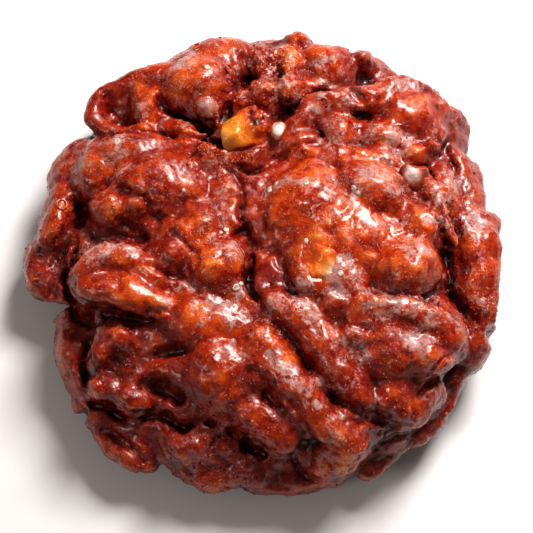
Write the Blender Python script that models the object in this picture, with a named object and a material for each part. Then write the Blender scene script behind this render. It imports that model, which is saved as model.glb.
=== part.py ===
"""A glazed apple fritter: one craggy piece of fried dough with four pieces of apple showing.

The dough is heaped up from rounded lobes, as the baker's chopped dough is, and the folds that run
over it. The heap is skinned as one surface, seams are pressed in where two lobes meet and a few
notches from the side, the whole is warped a little, and cobbled crust is raised on the rough
places. The underside keeps small flat spots where the fritter lies. All sizes in the tables are in
millimetres, +Z up, x to the right and y to the back, and they are turned into metres when the
meshes are made.
"""
import math
import random

import bmesh
import bpy
import numpy as np
from mathutils import Euler, Matrix, Vector, noise

# Driving sizes, in millimetres
MM = 0.001
CORE_WIDTH = 112
CORE_DISCS = ((33, 94, 13), (27, 106, 12), (21.5, CORE_WIDTH, 9.25))
SKIN_VOXEL = 1.0
DOUGH_TRIANGLES = 10750
NODE_GAP = 0.35
SLIVER = 0.03
SEED = 5

# How the skin is smoothed, as factor and times: over the heap, over its seams, over its crust
SOFT_HEAP = (0.5, 2)
SOFT_SEAMS = (0.5, 1)
SOFT_CRUST = (0.4, 1)

# Lobes: name, x, y, top, length, width, turn in degrees, half height
LOBES = (
    # The big mass right of the middle
    ("crown_main", 18, 4, 38.5, 45, 34, -22, 12),
    ("crown_shoulder", 9, 12, 38, 27, 19, 50, 10),
    ("crown_ridge", 27, 15, 39.3, 23, 15, -22, 9),
    ("crown_boss", 34, -4, 41, 19, 17, 0, 10),
    ("crown_pad", 18, -5, 38.5, 22, 16, -50, 9),
    ("crown_edge", 38, 7, 37.5, 16, 12, -60, 9),
    # Front right
    ("front_right", 31, -21, 36.5, 33, 26, -18, 12),
    ("front_right_boss", 39, -26, 38, 15, 11, -10, 9),
    ("front_right_mid", 24, -20, 37, 18, 13, -30, 8),
    ("front_right_low", 32, -35, 31, 27, 16, 12, 10),
    ("front_right_edge", 44, -18, 34, 20, 10, -70, 9),
    ("front_right_foot", 26, -40, 27.5, 20, 12, 30, 9),
    ("front_right_skirt", 42, -25, 20, 20, 15, -50, 8.5),
    ("front_skirt", 30, -42, 18, 23, 13, 30, 7.5),
    # Front middle
    ("front_mass", -10, -28, 34, 21, 25, 10, 11),
    ("front_link", -1, -25, 35, 15, 22, 0, 10),
    ("front_tongue", -1, -40, 30.5, 23, 12, -42, 9),
    ("front_body", 10, -35, 32.5, 22, 20, -40, 11),
    ("front_tip", 19, -46.5, 27.5, 17, 14, 30, 10),
    ("front_heel", 16, -50.5, 20, 15, 9, 15, 9),
    # Left
    ("left_back", -25, 18, 36, 30, 20, -12, 11),
    ("left_back_rim", -33, 27, 33, 24, 12, 5, 9),
    ("left_shoulder", -42, 24, 31, 14, 19, -30, 10),
    ("nodule_large", -38, 12, 34, 12, 12, 0, 9),
    ("nodule_small", -31, 12, 34.5, 9, 8, 0, 7),
    ("left_mid", -18, 6, 35.5, 19, 14, 20, 9),
    ("left_knob", -23, 0, 35, 13, 11, 0, 8),
    ("left_boss", -11, -3, 37, 17, 18, 10, 9),
    ("left_low", -14, -17, 35, 30, 16, -8, 10),
    ("left_pad", -36, -7, 33, 27, 16, -10, 9),
    ("left_rim", -52, 14, 25, 27, 11, 76, 11),
    ("left_ear", -56.5, 1, 19, 17, 11, 97, 7.5),
    ("left_rim_low", -45, 3, 26, 17, 12, 80, 11.5),
    # Front left
    ("front_left_a", -35, -21, 30, 16, 12, -10, 9),
    ("front_left_b", -39.5, -24, 28.5, 11, 9, 0, 8),
    ("front_left_e", -39.5, -31.5, 26.5, 9.5, 8.5, 0, 8),
    ("front_left_f", -33, -34.5, 27, 12, 9, -30, 8),
    ("front_left_c", -31, -28, 27, 14, 15, 20, 9),
    ("front_left_d", -21, -23, 30, 17, 11, -15, 8),
    ("left_front_rim_a", -48, -20, 20, 17, 12, 95, 8),
    ("left_front_rim_b", -45, -27, 18, 18, 11, 115, 7.5),
    ("left_front_rim_c", -42, -36, 16, 17, 9, -48, 6.5),
    ("left_front_rim_d", -35.5, -43, 15.5, 22, 12, -42, 6),
    ("lower_tier_a", -30, -38, 19, 20, 12, -30, 8),
    ("lower_tier_b", -18, -44, 22, 20, 13, -12, 9),
    ("lower_tier_c", -4, -48, 19, 21, 14, -10, 8),
    ("front_rim_a", -16, -49, 15.5, 23, 11, -24, 6),
    ("front_rim_b", 5, -52.5, 14.5, 23, 10, 3, 5.5),
    # Back
    ("back_left", -17, 46, 32, 24, 21, 10, 12),
    ("back_left_top", -12, 53.5, 28, 26, 14, 8, 11),
    ("back_left_tip", -15, 38, 31.5, 11, 8, 0, 8),
    ("back_mid_a", -1, 53, 27.5, 13, 11, 10, 9),
    ("back_mid_b", 6, 43, 32, 10, 9, 0, 7),
    ("back_mid_c", -1, 43, 31.5, 10, 9, 0, 7),
    ("back_mid_d", -7, 41, 31, 10, 9, 0, 8),
    ("back_mid_e", 6, 52, 28.5, 10, 13, 0, 8),
    ("back_peak", 8.5, 60.5, 24, 7.5, 6.5, 0, 7),
    ("back_floor", 9, 44, 28, 37, 17, 0, 12),
    ("back_skirt", 6, 56, 21, 36, 13, -2, 8.5),
    ("back_right_skirt", 26, 51.5, 20, 26, 15, -28, 8),
    ("back_left_skirt", -48, 25, 24, 22, 14, 62, 10),
    ("back_right_lobe", 16, 52, 29, 17, 14, -15, 10),
    ("back_right_small", 25.5, 53, 26, 7.5, 6.5, 30, 7),
    ("crown_foot", 11.5, -12.5, 35, 11, 9, -30, 8),
    ("behind_crown_a", 9, 28.5, 34.5, 15, 12, 10, 9),
    ("behind_crown_b", 19, 31, 34.8, 14, 12, -10, 9),
    ("behind_crown_c", 29, 30, 34, 15, 13, -20, 9),
    ("behind_ridge", 22, 23.5, 34.8, 32, 10, -8, 8),
    ("behind_pale", 37, 26, 33.5, 10, 8, -20, 8),
    ("back_right", 35, 37, 33, 27, 19, -38, 12),
    ("back_right_bump", 41, 28, 33.5, 6, 5, 0, 5),
    ("back_ear", -35, 42, 23, 23, 17, 30, 9.5),
    ("ear_web", -29, 41, 27.5, 12, 13, 60, 8),
    ("apple_bed_a", -4, 25, 33, 20, 11, 20, 8),
    ("apple_bed_b", -13, 25, 33.5, 11, 11, 0, 8),
    ("apple_bed_c", 3, 30, 33, 15, 11, 30, 9),
    # Right
    ("right_lumps", 44, 17, 32, 21, 11, -72, 10),
    ("right_lump_low", 38, 11, 34, 11, 11, 0, 8),
    ("right_back_flank", 42, 33, 25, 17, 24, -50, 11),
    ("right_flank", 50, 16, 26, 14, 27, 0, 11.5),
    ("right_body", 50, -2, 27, 14, 32, -4, 12),
    ("right_nub", 55, 10, 26, 10, 8, 20, 7),
    ("right_fill", 45, -3, 25, 12, 32, -4, 12),
    ("right_low_body", 50, -18, 25, 15, 20, -20, 11),
)

# Folds of dough lying over the heap: name, flatness, then x, y, top, radius along each
FOLDS = (
    ("long_fold", 0.8, ((-1, -22, 35.5, 4), (6, -32, 35, 5), (14, -41, 32, 5), (21, -46, 28.5, 4.5))),
    ("inner_fold", 0.8, ((3, -13, 36.3, 4), (10, -18, 36.8, 4.5), (17, -27, 35.3, 4.5), (23, -37, 32.3, 4))),
    ("brow_fold", 0.7, ((17, -14, 37.5, 3.5), (29, -14, 38.5, 4), (39, -16, 38, 4), (45, -22, 35, 3.5))),
    ("fruit_bed", 0.9, ((10, 1.5, 37.4, 2.2), (8, -3, 37.2, 2.4), (10, -8.5, 36.8, 2.4),
                        (15, -10.5, 37, 2.2))),
    ("back_brow", 0.8, ((8, 33, 34, 3), (15, 39, 34, 3.5), (25, 40, 34, 3.5), (35, 44, 31, 3.5),
                        (43, 40, 28, 4))),
    ("right_back_rim", 0.9, ((40, 43, 23, 4.5), (43, 32, 23.5, 5), (47.5, 25.5, 25, 5), (48.5, 19, 25, 5))),
    ("right_ridge", 0.8, ((38.5, 20, 34.5, 1.8), (41.5, 14.5, 34.8, 2.6), (43.5, 8, 34.5, 2.6),
                          (45.5, 2.5, 33, 2.2))),
    ("right_rim", 0.8, ((48, 14, 28, 5), (52, 7, 29, 6), (53, -7, 28, 6), (52.5, -16, 25, 5))),
    ("fringe", 0.9, ((51, -20, 19, 4.5), (46, -28, 17, 4.5), (41, -38, 16, 4.5), (34, -42, 15, 4.5),
                     (26, -49, 13, 4.5))),
    ("left_ridge", 0.8, ((-44, -4, 34, 3), (-39, -1, 35.5, 3.5), (-32, -2, 35, 3), (-26, -7, 34, 2.5))),
    ("left_tongue", 0.8, ((-43, -9, 33.5, 3.5), (-35, -10, 35.5, 4.5), (-25, -14, 34.5, 3))),
    ("ear_curl", 0.9, ((-30, 33.5, 27, 2.5), (-37, 33, 25.5, 2.5), (-43, 36, 24, 2.5),
                       (-43.5, 41.5, 24, 2.5), (-39, 45, 25, 2.5), (-32, 48, 26, 3), (-26, 50, 27, 3))),
)

# All seams' share of their listed width and depth. They wander off their lines by slow and quick
# noise, given as size and reach, and fade out towards the base
SEAM_WIDTH = 0.8
SEAM_DEPTH = 0.62
SEAM_WANDER = ((7, 2.2), (2.8, 0.8))
SEAM_BASE = 3
SEAM_FADE = 8
SEAM_MARGIN = 12

# Seams and hollows pressed in from above: name, then x, y, half width, depth along each
SEAMS = (
    ("crown_left", ((-7, 20, 1.5, 4), (-5, 11, 1.8, 6), (-4, 2, 2, 7), (-3, -8, 2.8, 12),
                    (-1, -14, 1.8, 4))),
    ("crown_cross", ((-11, 3, 1, 2), (-6, 5, 2, 6), (-1, 2, 2.5, 4))),
    ("back_left", ((-44, 32, 1.5, 3), (-29, 31.5, 1.8, 5), (-19, 30.5, 2, 6), (-12, 29, 2.5, 8),
                   (-8, 29, 1.5, 4))),
    ("beside_ear", ((-27.3, 42.5, 1.6, 5), (-22, 38.5, 2, 9), (-18, 36, 2.4, 11), (-13.5, 32, 2.4, 9))),
    ("behind_crown", ((-4, 21, 2, 6), (4, 24, 1.8, 4), (9, 26, 1.5, 2.5), (17, 25.5, 1.5, 1.5),
                      (27, 23, 1.5, 1.5), (33, 20.5, 1.8, 3))),
    ("hole_by_apple", ((3, 35, 2, 7), (6, 39, 2, 7))),
    ("below_nodules", ((-35, 8, 2, 3.5), (-31, 5, 3, 5), (-38, 3, 2, 3), (-43, 4, 1.5, 3))),
    ("left_back_lower", ((-47, 18, 1.5, 4), (-43, 14, 2, 4), (-35, 16, 1.5, 3), (-26, 11, 2, 3),
                         (-18, 9, 1.5, 2))),
    ("left_rim", ((-48, 15, 1.5, 3), (-47, 6, 1.5, 4), (-49, 0, 2, 7), (-49, -8, 3, 9),
                  (-44, -16, 2, 6))),
    ("left_front_rim", ((-45, -20, 1.5, 4), (-44.5, -26, 1.6, 6), (-43, -33, 1.8, 6), (-37, -38.5, 2, 5),
                        (-28, -39, 2, 5))),
    ("front_left_gap", ((-43, -28, 1.2, 3), (-37, -28, 1.2, 4), (-35, -32, 1.2, 3))),
    ("under_tongue", ((-45, -14, 1.5, 5), (-38, -15.5, 1.5, 6), (-30, -16.5, 1.5, 5),
                      (-23, -16, 1.2, 2))),
    ("left_boss_low", ((-28, -5, 1.5, 3), (-23, -5, 1.5, 4), (-18, -8, 1.5, 3),
                       (-15, -13, 1.5, 2))),
    ("left_boss_top", ((-23, 4, 1.5, 3), (-17, 1, 1.5, 3), (-16, -3, 1.5, 2))),
    ("front_left_hole", ((-27, -23.5, 2.5, 6), (-20, -24, 2.5, 6))),
    ("front_left_pit", ((-29, -31.5, 3, 4), (-24.5, -33.5, 4.5, 8), (-20, -35, 3, 6))),
    ("lip_a", ((-26, -39, 2, 5), (-20, -41, 2.5, 7), (-14, -42, 2, 6))),
    ("lip_b", ((-9, -43, 3, 9), (-3, -46, 2.5, 9), (0, -49, 2, 5))),
    ("lip_c", ((7, -50, 2, 5), (13, -53, 2, 5))),
    ("rim_seam", ((-40, -41, 2, 3), (-35, -45, 2.5, 5), (-29, -49, 2, 3))),
    ("tongue_side", ((-1, -30, 1.5, 2), (4, -36, 2, 4), (9, -42, 2, 5), (11, -46, 1.5, 3))),
    ("front_gully", ((13, -33, 2, 3), (20, -37, 2.5, 6), (27, -41, 3, 7), (33, -42, 2, 5),
                     (26, -45, 2, 4))),
    ("between_folds", ((6, -22, 1, 1), (10, -27, 1.2, 1.5), (14, -32, 1.2, 1.5))),
    ("front_right_dent", ((21, -19, 2, 3), (26, -21, 2, 4))),
    ("crown_front", ((16, -11, 1.5, 1.5), (24, -12, 1.5, 2), (32, -12, 2, 2.2), (41, -14, 2, 3.5))),
    ("crown_fall", ((-1, 2, 1.5, 2), (5, -6, 1.5, 2), (8, -11, 1.5, 1.5))),
    ("boss_ring", ((27, -1, 1.5, 1.5), (28, -8, 1.5, 2), (32, -12, 1.5, 2))),
    ("right_rim", ((43, 6, 1.5, 4), (44.5, 3, 2, 6), (46, -6, 2, 7), (48, -13, 2, 6),
                   (50, -19, 1.5, 3))),
    ("right_fringe", ((47, -24, 1.5, 3), (42, -30, 2, 4), (37, -36, 2, 4))),
    ("right_back_rim", ((46, 31, 1.5, 3), (48, 25, 1.5, 5), (47, 16, 1.5, 3))),
    ("back_right_hollow", ((20, 41, 1.5, 3), (24, 38.5, 2.2, 4.5), (27, 36, 1.8, 3), (29, 34.5, 1.5, 1.5))),
    ("behind_dimple", ((12, 33, 1.2, 3), (14, 31, 2, 6), (15, 29.5, 1.2, 3))),
    ("back_right_line", ((8, 39, 1.5, 3), (13, 42, 1.5, 5), (20, 45, 1.5, 4), (23, 49, 1.3, 4),
                         (24, 53, 1, 2))),
    ("back_split", ((-5, 57, 1.5, 2), (-5, 48, 1.5, 3), (-8, 43, 2, 4), (-11, 36, 2, 6))),
    ("back_left_pits", ((-10, 53, 1.5, 3), (-10, 46, 2, 3))),
    ("ear_bowl", ((-39.5, 41.5, 3.2, 3), (-37.5, 38.5, 4, 4.5), (-35, 38.5, 3, 3.5))),
    ("right_wrinkle", ((33, 16, 1.5, 3), (37, 13, 2, 4), (42, 9, 1.5, 4))),
    ("back_right_wrinkle", ((20, 27, 1.2, 1.5), (26, 26.5, 1.2, 2), (33, 28, 1.2, 2.5), (40, 29, 1.5, 3))),
)

# Notches in the outline, pressed in from the side: name, x, y at the outline, half width, depth
NOTCHES = (
    ("below_ear", -54.5, -10.5, 2.6, 5.5),
    ("below_nub", -47, -37.5, 2.2, 3.5),
    ("back_gap", 23, 57, 2, 3),
    ("right_step", 56, -19, 2, 2),
    ("front_dip", -8, -58, 4, 2),
)

# Places where the crust is cobbled most: name, x, y, radius, strength
ROUGH_PLACES = (
    ("back", 1, 47, 21, 0.8),
    ("by_apple", -10, 29, 18, 0.8),
    ("left_shoulder", -45, 23, 15, 0.4),
    ("nodules", -29, 10, 21, 0.45),
    ("right", 43, 14, 20, 0.55),
    ("back_right", 29, 40, 21, 0.3),
    ("front_right", 30, -24, 28, 0.35),
    ("front_right_low", 28, -43, 21, 0.5),
    ("front_left", -38, -31, 21, 0.4),
    ("front", -11, -48, 28, 0.6),
    ("middle", 1, -17, 14, 0.45),
    ("crown_edge", 33, 6, 14, 0.4),
    ("left_boss", -14, 1, 14, 0.45),
    ("front_tip", 18, -51, 14, 0.5),
    ("right_rim", 53, -12, 14, 0.5),
    ("left_rim", -52, 1, 14, 0.45),
)
ROUGH_EVERYWHERE = 0.28
ROUGH_GAIN = 1.2

# The crust: cobbles of two cell sizes and heights, about their mean height, on coordinates bent by
# noise of a size and a reach. Then the winding creases between them, and the fine grain
COBBLES = ((7.0, 2.2), (3.6, 1.3))
COBBLE_MEAN = 0.45
BEND_SIZE = 4
BEND_REACH = 0.8
CREASE_SIZE = 9
CREASE_WIDTH = 0.13
CREASE_DEPTH = 1.2
GRAIN_SIZE = 1.9
GRAIN_HEIGHT = 0.3

# The warp of the whole: size, reach and where the noise is read
WARPS = ((14, 1.1, (0, 0, 0)), (6, 0.7, (7, 3, 1)))

# Below this height nothing moves up or down, and above it the crust's full height fades in
FLAT_HEIGHT = 0.4
FLAT_FADE = 3

# The underside, each drawn size with its least and most: lobes round the rim, feet with the flat
# spots that the fritter lies on, in rings of a count and a radius, and bumps between them
RIM_COUNT = 16
RIM_SWING = (-0.1, 0.1)
RIM_RADIUS = (45, 48)
RIM_TOP = (15, 18)
RIM_LENGTH = (20, 27)
RIM_WIDTH = (15, 19)
RIM_DEPTH = (5.5, 6.5)
FOOT_RINGS = ((1, 0), (4, 19), (8, 35))
FOOT_SWING = (-0.25, 0.25)
FOOT_SHIFT = (-3, 3)
FOOT_LENGTH = (20, 33)
FOOT_WIDTH = (13, 20)
FOOT_TOP = 16
FOOT_DEPTH = 8.4
BUMP_COUNT = 26
BUMP_REACH = 42
BUMP_LENGTH = (10, 22)
BUMP_WIDTH = (8, 14)
BUMP_DEPTH = (7, 7.9)

# Pieces of apple: name, centre x, y, z, length, width, height, turn, tilt x, tilt y, squareness, taper
APPLES = (
    ("apple_amber", -5.2, 31.3, 31, 13, 9.2, 7.5, 27, -16, 6, 2.5, -0.12),
    ("apple_bit", 3.2, 30.7, 33.8, 3.4, 4.4, 3.4, -16, -12, 10, 3.2, -0.2),
    ("apple_pale", 36.8, 18.8, 31.9, 7.4, 6.4, 6, -98, -8, 6, 2.2, 0.55),
    ("apple_crown", 13.1, -4.2, 35.7, 10.5, 9, 5.2, -52, 19, -5, 2.3, 0.15),
)
APPLE_CUTS = 2
APPLE_WOBBLE = 0.18
APPLE_WOBBLE_SIZE = 4

MATERIALS = {
    # colour, roughness
    "dough": ((0.26, 0.055, 0.028), 0.32),
    "apple_amber": ((0.66, 0.27, 0.04), 0.28),
    "apple_bit": ((0.70, 0.58, 0.50), 0.30),
    "apple_pale": ((0.58, 0.38, 0.30), 0.30),
    "apple_crown": ((0.62, 0.25, 0.06), 0.30),
}


def clear_scene():
    for thing in list(bpy.data.objects):
        bpy.data.objects.remove(thing)


def new_object(name, points, faces):
    """A mesh object from points in millimetres."""
    mesh = bpy.data.meshes.new(name)
    mesh.from_pydata((np.asarray(points) * MM).tolist(), [], [list(face) for face in faces])
    thing = bpy.data.objects.new(name, mesh)
    bpy.context.collection.objects.link(thing)
    return thing


def read_points(thing):
    points = np.empty(len(thing.data.vertices) * 3, np.float32)
    thing.data.vertices.foreach_get("co", points)
    return points.reshape(-1, 3).astype(float) / MM


def read_normals(thing):
    normals = np.empty(len(thing.data.vertices) * 3, np.float32)
    thing.data.vertex_normals.foreach_get("vector", normals)
    return normals.reshape(-1, 3).astype(float)


def write_points(thing, points):
    thing.data.vertices.foreach_set("co", (points * MM).astype(np.float32).ravel())
    thing.data.update()


def apply_modifiers(thing):
    graph = bpy.context.evaluated_depsgraph_get()
    mesh = bpy.data.meshes.new_from_object(thing.evaluated_get(graph))
    thing.modifiers.clear()
    thing.data = mesh


def skin(thing, voxel):
    """Joins overlapping closed shapes into one even surface."""
    modifier = thing.modifiers.new("Skin", "REMESH")
    modifier.mode = "VOXEL"
    modifier.voxel_size = voxel * MM
    apply_modifiers(thing)


def soften(thing, factor, times):
    modifier = thing.modifiers.new("Soften", "SMOOTH")
    modifier.factor = factor
    modifier.iterations = times
    apply_modifiers(thing)


def thin_out(thing, triangles):
    now = sum(len(face.vertices) - 2 for face in thing.data.polygons)
    modifier = thing.modifiers.new("Thin", "DECIMATE")
    modifier.ratio = triangles / now
    modifier.use_collapse_triangulate = True
    apply_modifiers(thing)


def ease(value):
    """A smooth step from 0 to 1."""
    value = np.clip(value, 0, 1)
    return value * value * (3 - 2 * value)


def polar(radius, angle):
    return radius * math.cos(angle), radius * math.sin(angle)


def along(points, step=1.5):
    """A smooth curve through the points, read about every step millimetres."""
    rows = [np.array(point, float) for point in points]
    rows = [2 * rows[0] - rows[1]] + rows + [2 * rows[-1] - rows[-2]]
    for before, start, end, after in zip(rows, rows[1:], rows[2:], rows[3:]):
        count = max(2, int(np.linalg.norm((end - start)[:3]) / step))
        for index in range(count):
            t = index / count
            yield 0.5 * (2 * start + (end - before) * t
                         + (2 * before - 5 * start + 4 * end - after) * t ** 2
                         + (3 * start - before - 3 * end + after) * t ** 3)
    yield rows[-2]


class Heap:
    """Rounded lobes gathered into one mesh before they are skinned."""

    def __init__(self):
        self.points = []
        self.faces = []
        self.count = 0
        self.balls = {}

    def ball(self, detail):
        """The points and faces of a unit ball."""
        if detail not in self.balls:
            bpy.ops.mesh.primitive_ico_sphere_add(subdivisions=detail, radius=1)
            source = bpy.context.object
            points = np.array([vertex.co for vertex in source.data.vertices])
            faces = np.array([face.vertices for face in source.data.polygons])
            bpy.data.objects.remove(source)
            self.balls[detail] = (points, faces)
        return self.balls[detail]

    def lobe(self, x, y, top, length, width, turn, depth, detail=4):
        points, faces = self.ball(detail)
        points = points * (length / 2, width / 2, depth)
        spin = np.array(Matrix.Rotation(math.radians(turn), 3, "Z"))
        self.points.append(points @ spin.T + (x, y, top - depth))
        self.faces.append(faces + self.count)
        self.count += len(points)

    def fold(self, flatness, points):
        for x, y, top, radius in along(points):
            self.lobe(x, y, top, 2 * radius, 2 * radius, 0, radius * flatness, detail=3)

    def make(self, name):
        return new_object(name, np.concatenate(self.points), np.concatenate(self.faces))


def add_underside(heap, draw):
    """Lobes round the lower rim, feet and bumps, in sizes and places drawn at random."""
    for index in range(RIM_COUNT):
        angle = math.tau * index / RIM_COUNT + draw.uniform(*RIM_SWING)
        x, y = polar(draw.uniform(*RIM_RADIUS), angle)
        heap.lobe(x, y, draw.uniform(*RIM_TOP), draw.uniform(*RIM_LENGTH),
                  draw.uniform(*RIM_WIDTH), math.degrees(angle) + 90, draw.uniform(*RIM_DEPTH))
    for count, ring in FOOT_RINGS:
        for index in range(count):
            angle = math.tau * (index + 0.5) / count + draw.uniform(*FOOT_SWING)
            x, y = polar(ring + draw.uniform(*FOOT_SHIFT) if ring else 0, angle)
            heap.lobe(x, y, FOOT_TOP, draw.uniform(*FOOT_LENGTH), draw.uniform(*FOOT_WIDTH),
                      draw.uniform(0, 180), FOOT_DEPTH)
    for _ in range(BUMP_COUNT):
        angle = draw.uniform(0, math.tau)
        x, y = polar(BUMP_REACH * math.sqrt(draw.random()), angle)
        heap.lobe(x, y, FOOT_TOP, draw.uniform(*BUMP_LENGTH), draw.uniform(*BUMP_WIDTH),
                  draw.uniform(0, 180), draw.uniform(*BUMP_DEPTH))


def heap_up():
    """The lobes, the folds and the underside, as one mesh of overlapping shapes."""
    heap = Heap()
    for top, width, depth in CORE_DISCS:
        heap.lobe(0, 1, top, width, width, 0, depth, detail=6)
    for _, x, y, top, length, width, turn, depth in LOBES:
        heap.lobe(x, y, top, length, width, turn, depth)
    for _, flatness, points in FOLDS:
        heap.fold(flatness, points)
    add_underside(heap, random.Random(SEED))
    return heap.make("dough")


def wander(points):
    """How far each point's place is shifted before a seam is read, so that seams run unevenly."""
    return np.array([sum((noise.noise_vector(Vector(point) / size) * reach
                          for size, reach in SEAM_WANDER), Vector()) for point in points])


def press_seams(points, normals):
    """Lowers the upper surface along the seams and into the hollows."""
    read_at = (points + wander(points))[:, :2]
    drop = np.zeros(len(points))
    for _, seam in SEAMS:
        line = np.array(list(along(seam, 1.0)))
        middle = line[:, :2].mean(axis=0)
        reach = np.abs(line[:, :2] - middle).max() + SEAM_MARGIN
        near = np.nonzero(np.abs(read_at - middle).max(axis=1) < reach)[0]
        away = np.linalg.norm(read_at[near, None, :] - line[None, :, :2], axis=2)
        away /= SEAM_WIDTH * line[:, 2]
        closest = away.argmin(axis=1)
        depth = SEAM_DEPTH * line[closest, 3] * ease(1 - away[np.arange(len(near)), closest])
        drop[near] = np.maximum(drop[near], depth)
    facing_up = ease((normals[:, 2] + 0.3) / 0.6)
    above_base = ease((points[:, 2] - SEAM_BASE) / SEAM_FADE)
    lowered = points.copy()
    lowered[:, 2] -= drop * facing_up * above_base
    return lowered


def press_notches(points):
    """Moves the points outside each notch straight inwards, as far as the notch goes there."""
    moved = points.copy()
    for _, x, y, half_width, depth in NOTCHES:
        inwards = -np.array((x, y)) / math.hypot(x, y)
        away = moved[:, :2] - (x, y)
        across = np.abs(away @ (-inwards[1], inwards[0])) / half_width
        short = depth * ease(1 - across) - away @ inwards
        near = (across < 1) & (np.hypot(*away.T) < SEAM_MARGIN)
        moved[:, :2] += np.where(near, np.maximum(short, 0), 0)[:, None] * inwards
    return moved


def roughness_at(points):
    """How strongly the crust is cobbled at each point, from 0 to 1."""
    strength = np.full(len(points), float(ROUGH_EVERYWHERE))
    for _, x, y, radius, full in ROUGH_PLACES:
        inside = 1 - np.hypot(points[:, 0] - x, points[:, 1] - y) / radius
        strength = np.maximum(strength, ROUGH_GAIN * full * ease(inside))
    return np.minimum(1, strength)


def crust(point, strength):
    """How far the crust stands out at a point: rounded cobbles, creases and a fine grain."""
    bent = point + noise.noise_vector(point / BEND_SIZE) * BEND_REACH
    cobbles = sum(height * (COBBLE_MEAN - noise.voronoi(bent / cell)[0][0]) for cell, height in COBBLES)
    crease = CREASE_DEPTH * float(ease(1 - abs(noise.noise(bent / CREASE_SIZE)) / CREASE_WIDTH))
    return strength * (cobbles - crease) + GRAIN_HEIGHT * noise.noise(point / GRAIN_SIZE)


def warp(point):
    """The slow unevenness of hand-formed dough."""
    return sum((noise.noise_vector(point / size + Vector(start)) * reach
                for size, reach, start in WARPS), Vector())


def roughen(points, normals):
    """Warps the heap and raises the crust on it, least where it lies on its flat spots."""
    moved = points.copy()
    strengths = roughness_at(points).tolist()
    for index, (point, normal, strength) in enumerate(zip(points, normals, strengths)):
        place = Vector(point)
        shift = warp(place) + Vector(normal) * crust(place, strength)
        shift.z *= float(ease((place.z - FLAT_HEIGHT) / FLAT_FADE))
        moved[index] = place + shift
    return moved


def cut_flat(thing):
    """Cuts the underside off level, which leaves a flat spot under each foot."""
    bpy.context.view_layer.objects.active = thing
    thing.select_set(True)
    bpy.ops.object.mode_set(mode="EDIT")
    bpy.ops.mesh.select_all(action="SELECT")
    bpy.ops.mesh.bisect(plane_co=(0, 0, 0), plane_no=(0, 0, 1), use_fill=True, clear_inner=True,
                        threshold=0.000001)
    bpy.ops.mesh.select_all(action="SELECT")
    bpy.ops.mesh.quads_convert_to_tris()
    bpy.ops.object.mode_set(mode="OBJECT")
    thing.select_set(False)


def make_dough():
    dough = heap_up()
    skin(dough, SKIN_VOXEL)
    soften(dough, *SOFT_HEAP)
    write_points(dough, press_notches(press_seams(read_points(dough), read_normals(dough))))
    soften(dough, *SOFT_SEAMS)
    write_points(dough, roughen(read_points(dough), read_normals(dough)))
    skin(dough, SKIN_VOXEL)
    soften(dough, *SOFT_CRUST)
    thin_out(dough, DOUGH_TRIANGLES)
    cut_flat(dough)
    return dough


def apple_points(length, width, height, squareness, taper, seed):
    """The points and faces of a dice of apple, rounded by frying and narrower at one end."""
    bpy.ops.mesh.primitive_cube_add(size=2)
    source = bpy.context.object
    modifier = source.modifiers.new("Cells", "SUBSURF")
    modifier.subdivision_type = "SIMPLE"
    modifier.levels = APPLE_CUTS
    modifier.render_levels = APPLE_CUTS
    apply_modifiers(source)
    cube = np.array([vertex.co for vertex in source.data.vertices])
    quads = [tuple(face.vertices) for face in source.data.polygons]
    faces = [corners for a, b, c, d in quads for corners in ((a, b, c), (a, c, d))]
    bpy.data.objects.remove(source)
    ball = cube / np.linalg.norm(cube, axis=1)[:, None]
    swell = (np.abs(ball) ** squareness).sum(axis=1) ** (1 / squareness)
    shape = ball / swell[:, None]
    shape[:, 1:] *= 1 - taper * shape[:, :1]
    points = shape * (length / 2, width / 2, height / 2)
    start = Vector((seed * 11, seed * 5, 2))
    wobble = [noise.noise_vector(Vector(point) / APPLE_WOBBLE_SIZE + start) for point in points]
    return points + APPLE_WOBBLE * (length + width + height) / 3 * np.array(wobble), faces


def make_apple(row, seed, grow=0):
    """One piece of apple, or with grow the shape of the bed it sits in."""
    name, x, y, z, length, width, height, turn, tilt_x, tilt_y, squareness, taper = row
    points, faces = apple_points(length, width, height, squareness, taper, seed)
    place = Matrix.Translation((x, y, z)) @ Euler(
        (math.radians(tilt_x), math.radians(tilt_y), math.radians(turn))).to_matrix().to_4x4()
    points = np.array([place @ Vector(point) for point in points])
    apple = new_object(name, points, faces)
    if grow:
        write_points(apple, read_points(apple) + grow * read_normals(apple))
    return apple


def drop_slivers(thing):
    """Takes out the edges too short to matter that cutting leaves."""
    mesh = bmesh.new()
    mesh.from_mesh(thing.data)
    bmesh.ops.dissolve_degenerate(mesh, dist=SLIVER * MM, edges=mesh.edges)
    bmesh.ops.triangulate(mesh, faces=mesh.faces)
    mesh.to_mesh(thing.data)
    mesh.free()


def cut_beds(dough):
    """Cuts the bed of each piece of apple out of the dough, a little wider than the piece."""
    for seed, row in enumerate(APPLES):
        bed = make_apple(row, seed, NODE_GAP)
        modifier = dough.modifiers.new("Bed", "BOOLEAN")
        modifier.operation = "DIFFERENCE"
        modifier.solver = "EXACT"
        modifier.object = bed
        apply_modifiers(dough)
        bpy.data.objects.remove(bed)
    drop_slivers(dough)


def place_on_origin(things):
    """Moves everything so that the middle of the box round it is over the origin, at z = 0."""
    points = np.concatenate([read_points(thing) for thing in things])
    low = points.min(axis=0)
    high = points.max(axis=0)
    shift = np.array([-(low[0] + high[0]) / 2, -(low[1] + high[1]) / 2, -low[2]])
    for thing in things:
        write_points(thing, read_points(thing) + shift)
    print("moved by", shift.round(2), "size", (high - low).round(2))


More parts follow.
